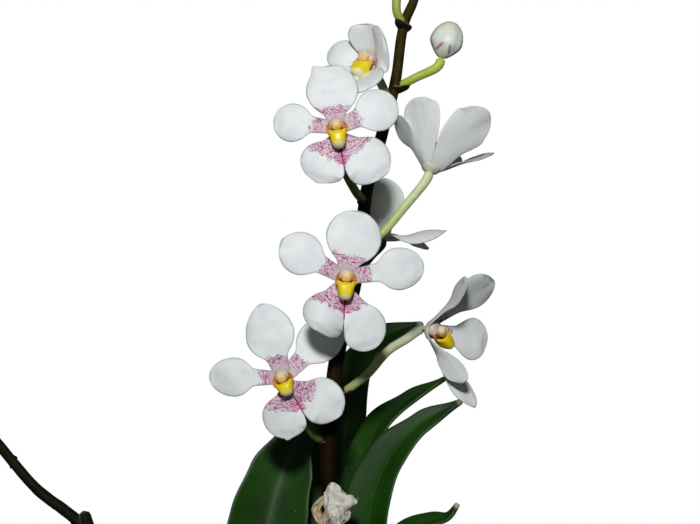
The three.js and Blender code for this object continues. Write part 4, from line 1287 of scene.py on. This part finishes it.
def makeWithered():
    bm, layers = newMesh("tint")
    centre = Vector(withered["centre"])
    chalk, beige, straw = linear("#E6E4DC"), linear("#D6CAB0"), linear("#B99C70")

    for vert in bmesh.ops.create_icosphere(bm, subdivisions=5, radius=1.0)["verts"]:
        # a few large folds with sharp valleys, like crumpled paper
        direction = vert.co.normalized()
        crease = abs(rough(direction * 3, withered["seed"], 2.3))
        fold = abs(rough(direction * 3, withered["seed"] + 2, 1.1))
        reach = 0.86 + 0.42 * crease + 0.16 * fold
        lean = Vector((0.3 + direction.x * 2.8, direction.y * 2.5, direction.z * 4 - 0.4)) * reach
        lean.x += 1.1 * direction.x * ease(direction.z, -0.2, 0.4) * (direction.x > 0)
        lean.x -= 1.2 * ease(direction.z, 0.5, 1.0)
        lean.z += 0.9 * ease(direction.z, 0.8, 1.0)
        vert.co = centre + lean
        share = ease(crease, 0.02, 0.2)
        vert[layers["tint"]] = blend(chalk, beige, 1 - share)
        vert[layers["thick"]][0] = 1.0

    stub = Route([withered["node"], withered["by"], withered["centre"]])

    def stubTone(vert, v, turn):
        vert[layers["tint"]] = straw

    addStalk(bm, stub, lambda v: withered["stalk"], 12, 14, stubTone)
    finishPiece(bm, "withered_bloom_husk", ["withered"], ["withered_bloom"])
    bm, layers = newMesh("tint")
    for index, (width, *path) in enumerate(withered["scraps"]):
        route = Route(path)

        def curled(vert, u, v):
            tangent = route.tangent(v)
            sideways = tangent.cross(Vector((0, -1, 0))).normalized()
            half = width / 2 * sqrt(max(0.05, 1 - (2 * v - 1) ** 2))
            half *= 1 + 0.2 * rough((v * 4, u, 0), index, 0.7)
            fold = 0.55 * rough((u * 2, v * 5, 0), index + 4, 0.8) + 0.5 * u * u
            vert.co = route.at(v) + sideways * u * half + Vector((0, -1, 0)) * fold
            vert[layers["tint"]] = blend(beige, straw, 0.5 + 0.5 * rough((u, v * 3, 0), index, 0.6))
            vert[layers["thick"]][0] = 1.0

        addSheet(bm, 14, 22, curled)
    finishPiece(bm, "withered_bloom_scraps", ["withered"], ["withered_bloom"],
                subdivision=1, wall=withered["wall"])


makeWithered()
print("withered bloom ready")


# Pot

pot = {
    "height": 92, "footRadius": 37, "bodyRadius": 47, "rimRadius": 52.5, "rimHeight": 17,
    "wall": 4.5, "floor": 7, "holes": 4, "holeRadius": 4.5, "holeCircle": 19, "segments": 120,
    "softEdge": 0.7, "softAngle": 25, "sharpAngle": 35,
}


def makePot():
    rimFoot = pot["height"] - pot["rimHeight"]
    inside = pot["bodyRadius"] - pot["wall"]
    outline = [
        (0, 0), (pot["footRadius"] - 1.5, 0), (pot["footRadius"], 1.5), (pot["bodyRadius"], rimFoot),
        (pot["rimRadius"] - 1, rimFoot + 1), (pot["rimRadius"], rimFoot + 3),
        (pot["rimRadius"], pot["height"] - 2), (pot["rimRadius"] - 1.5, pot["height"]),
        (inside + 4, pot["height"]), (inside + 3, pot["height"] - 2), (inside + 1.5, rimFoot),
        (pot["footRadius"] - pot["wall"] + 1, pot["floor"]), (0, pot["floor"]),
    ]
    bm = bmesh.new()
    verts = [bm.verts.new((radius, 0, height)) for radius, height in outline]
    edges = [bm.edges.new(pair) for pair in zip(verts, verts[1:])]
    bmesh.ops.spin(
        bm, geom=verts + edges, axis=(0, 0, 1), cent=(0, 0, 0), angle=2 * pi,
        steps=pot["segments"], use_merge=True,
    )
    bmesh.ops.remove_doubles(bm, verts=bm.verts, dist=1e-4)
    bmesh.ops.recalc_face_normals(bm, faces=bm.faces)
    sharp = [
        edge for edge in bm.edges
        if len(edge.link_faces) == 2 and edge.calc_face_angle() > radians(pot["softAngle"])
        and abs(edge.verts[0].co.z - edge.verts[1].co.z) < 1e-3
    ]
    bmesh.ops.bevel(
        bm, geom=sharp, offset=pot["softEdge"], segments=3, profile=0.5, affect="EDGES",
        material=-1, clamp_overlap=True,
    )
    body = putObject("potBody", meshFrom(bm, "pot_clay"))
    bm = bmesh.new()
    for i in range(pot["holes"]):
        turn = (i + 0.5) * 2 * pi / pot["holes"]
        place = Matrix.Translation(atTurn(turn, pot["holeCircle"], pot["floor"] / 2))
        bmesh.ops.create_cone(
            bm, cap_ends=True, segments=40, radius1=pot["holeRadius"], radius2=pot["holeRadius"],
            depth=pot["floor"] * 3, matrix=place,
        )
    drill = putObject("drills", meshFrom(bm, "drills"))
    cut = body.modifiers.new("holes", "BOOLEAN")
    cut.operation = "DIFFERENCE"
    cut.object = drill
    cut.solver = "EXACT"
    bpy.context.view_layer.update()
    cutMesh = bpy.data.meshes.new_from_object(body.evaluated_get(bpy.context.evaluated_depsgraph_get()))
    bpy.data.objects.remove(drill)
    bpy.data.objects.remove(body)
    cutMesh.materials.clear()
    cutMesh.materials.append(materials["clay"])
    cutMesh.shade_smooth()
    cutMesh.set_sharp_from_angle(angle=radians(pot["sharpAngle"]))
    piece = putObject("pot_clay", cutMesh)
    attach(piece, "root")
    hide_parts("pot")


makePot()
print("pot ready")


# Bark bed

bark = {
    "edgeTop": 79, "middleTop": 82, "chips": 19, "length": 17, "width": 11, "height": 7, "seed": 11,
    "smallChips": 330, "smallSeed": 77, "smallTurn": 1.0007, "gap": 0.35, "worn": 0.14, "bed": "#3D2718",
}
goldenAngle = pi * (3 - sqrt(5))
barkTones = ["#5A3420", "#6F4328", "#80522F", "#4A2C1C", "#8B6038"]


def bedHeight(radius, inner):
    share = min(radius / inner, 1.0)
    return mix(bark["middleTop"], bark["edgeTop"], share ** 2)


def addChip(bm, layers, draw, length, width, height, turns, place, tone):
    # a hewn chunk: a box with pulled corners and worn edges
    old = set(bm.verts)
    made = bmesh.ops.create_cube(bm, size=1.0)["verts"]
    for vert in made:
        for axis, side in enumerate((length, width, height)):
            vert.co[axis] *= side * (0.75 + 0.4 * draw())
    edges = list({edge for vert in made for edge in vert.link_edges})
    bmesh.ops.bevel(
        bm, geom=edges, offset=min(width, height) * bark["worn"], segments=1, profile=0.5, affect="EDGES",
        material=-1,
    )
    turned = Matrix.Identity(4)
    for turn, axis in zip(turns, "XYZ"):
        turned = Matrix.Rotation(turn, 4, axis) @ turned
    verts = [vert for vert in bm.verts if vert not in old]
    bmesh.ops.transform(bm, matrix=Matrix.Translation(place) @ turned, verts=verts)
    colour = linear(tone)
    for vert in verts:
        vert[layers["tint"]] = colour
    return verts


def makeBark():
    inner = pot["bodyRadius"] - pot["wall"] + 1.5
    draw = repeatable(bark["seed"])
    bm, layers = newMesh("tint")
    for i in range(bark["chips"]):
        length = bark["length"] * (0.7 + 0.6 * draw())
        width = bark["width"] * (0.7 + 0.6 * draw())
        pulls = iter([draw() for _ in range(24)])
        turns = ((draw() - 0.5) * 0.7, (draw() - 0.5) * 0.7, draw() * pi)
        reach = (inner - bark["gap"] - 0.62 * length) * sqrt((i + 0.5) / bark["chips"])
        turn = i * goldenAngle
        height = bark["middleTop"] - 0.5 + 1.5 * draw()
        addChip(bm, layers, lambda: next(pulls), length, width, bark["height"], turns,
                atTurn(turn, reach, height), barkTones[i % 5])
    finishPiece(bm, "bark_bed_chunks", ["bark"], ["bark_bed"], smooth=False)

    bm, layers = newMesh("tint")

    def bed(vert):
        # the bed under the loose chips, filling the pot
        direction = vert.co.copy()
        flat = hypot(direction.x, direction.y)
        if direction.z >= 0:
            radius = (inner - bark["gap"]) * flat
            lumps = rough((direction.x * 40, direction.y * 40, 0), 3, 6)
            vert.co.z = bedHeight(radius, inner) - 2.5 + 1.2 * lumps
        else:
            depth = -direction.z
            foot = pot["footRadius"] - pot["wall"] + 0.6
            radius = mix(inner - bark["gap"], foot, depth) * min(1, flat * 1.6)
            vert.co.z = mix(bark["edgeTop"] - 3, pot["floor"] + 0.5, min(1, depth * 1.15))
        scale = radius / flat if flat > 1e-6 else 0
        vert.co.x, vert.co.y = direction.x * scale, direction.y * scale
        vert[layers["tint"]] = linear(bark["bed"])

    addBall(bm, 64, 40, bed)
    draw = repeatable(bark["smallSeed"])
    for i in range(bark["smallChips"]):
        radius = (inner - 4.5) * sqrt((i + 0.5) / bark["smallChips"])
        turn = i * goldenAngle * bark["smallTurn"] + 0.3 * draw()
        length = 5 + 6 * draw()
        width = 3.5 + 3.5 * draw()
        height = 2 + 2 * draw()
        place = atTurn(turn, radius, bedHeight(radius, inner) - 0.6 + 2.0 * draw())
        turns = ((draw() - 0.5) * 1.2, (draw() - 0.5) * 1.2, draw() * 2 * pi)
        addChip(bm, layers, draw, length, width, height, turns, place, barkTones[i % 5])
    finishPiece(bm, "bark_bed_chips", ["bark"], ["bark_bed"], smooth=False)


makeBark()
print("bark ready")
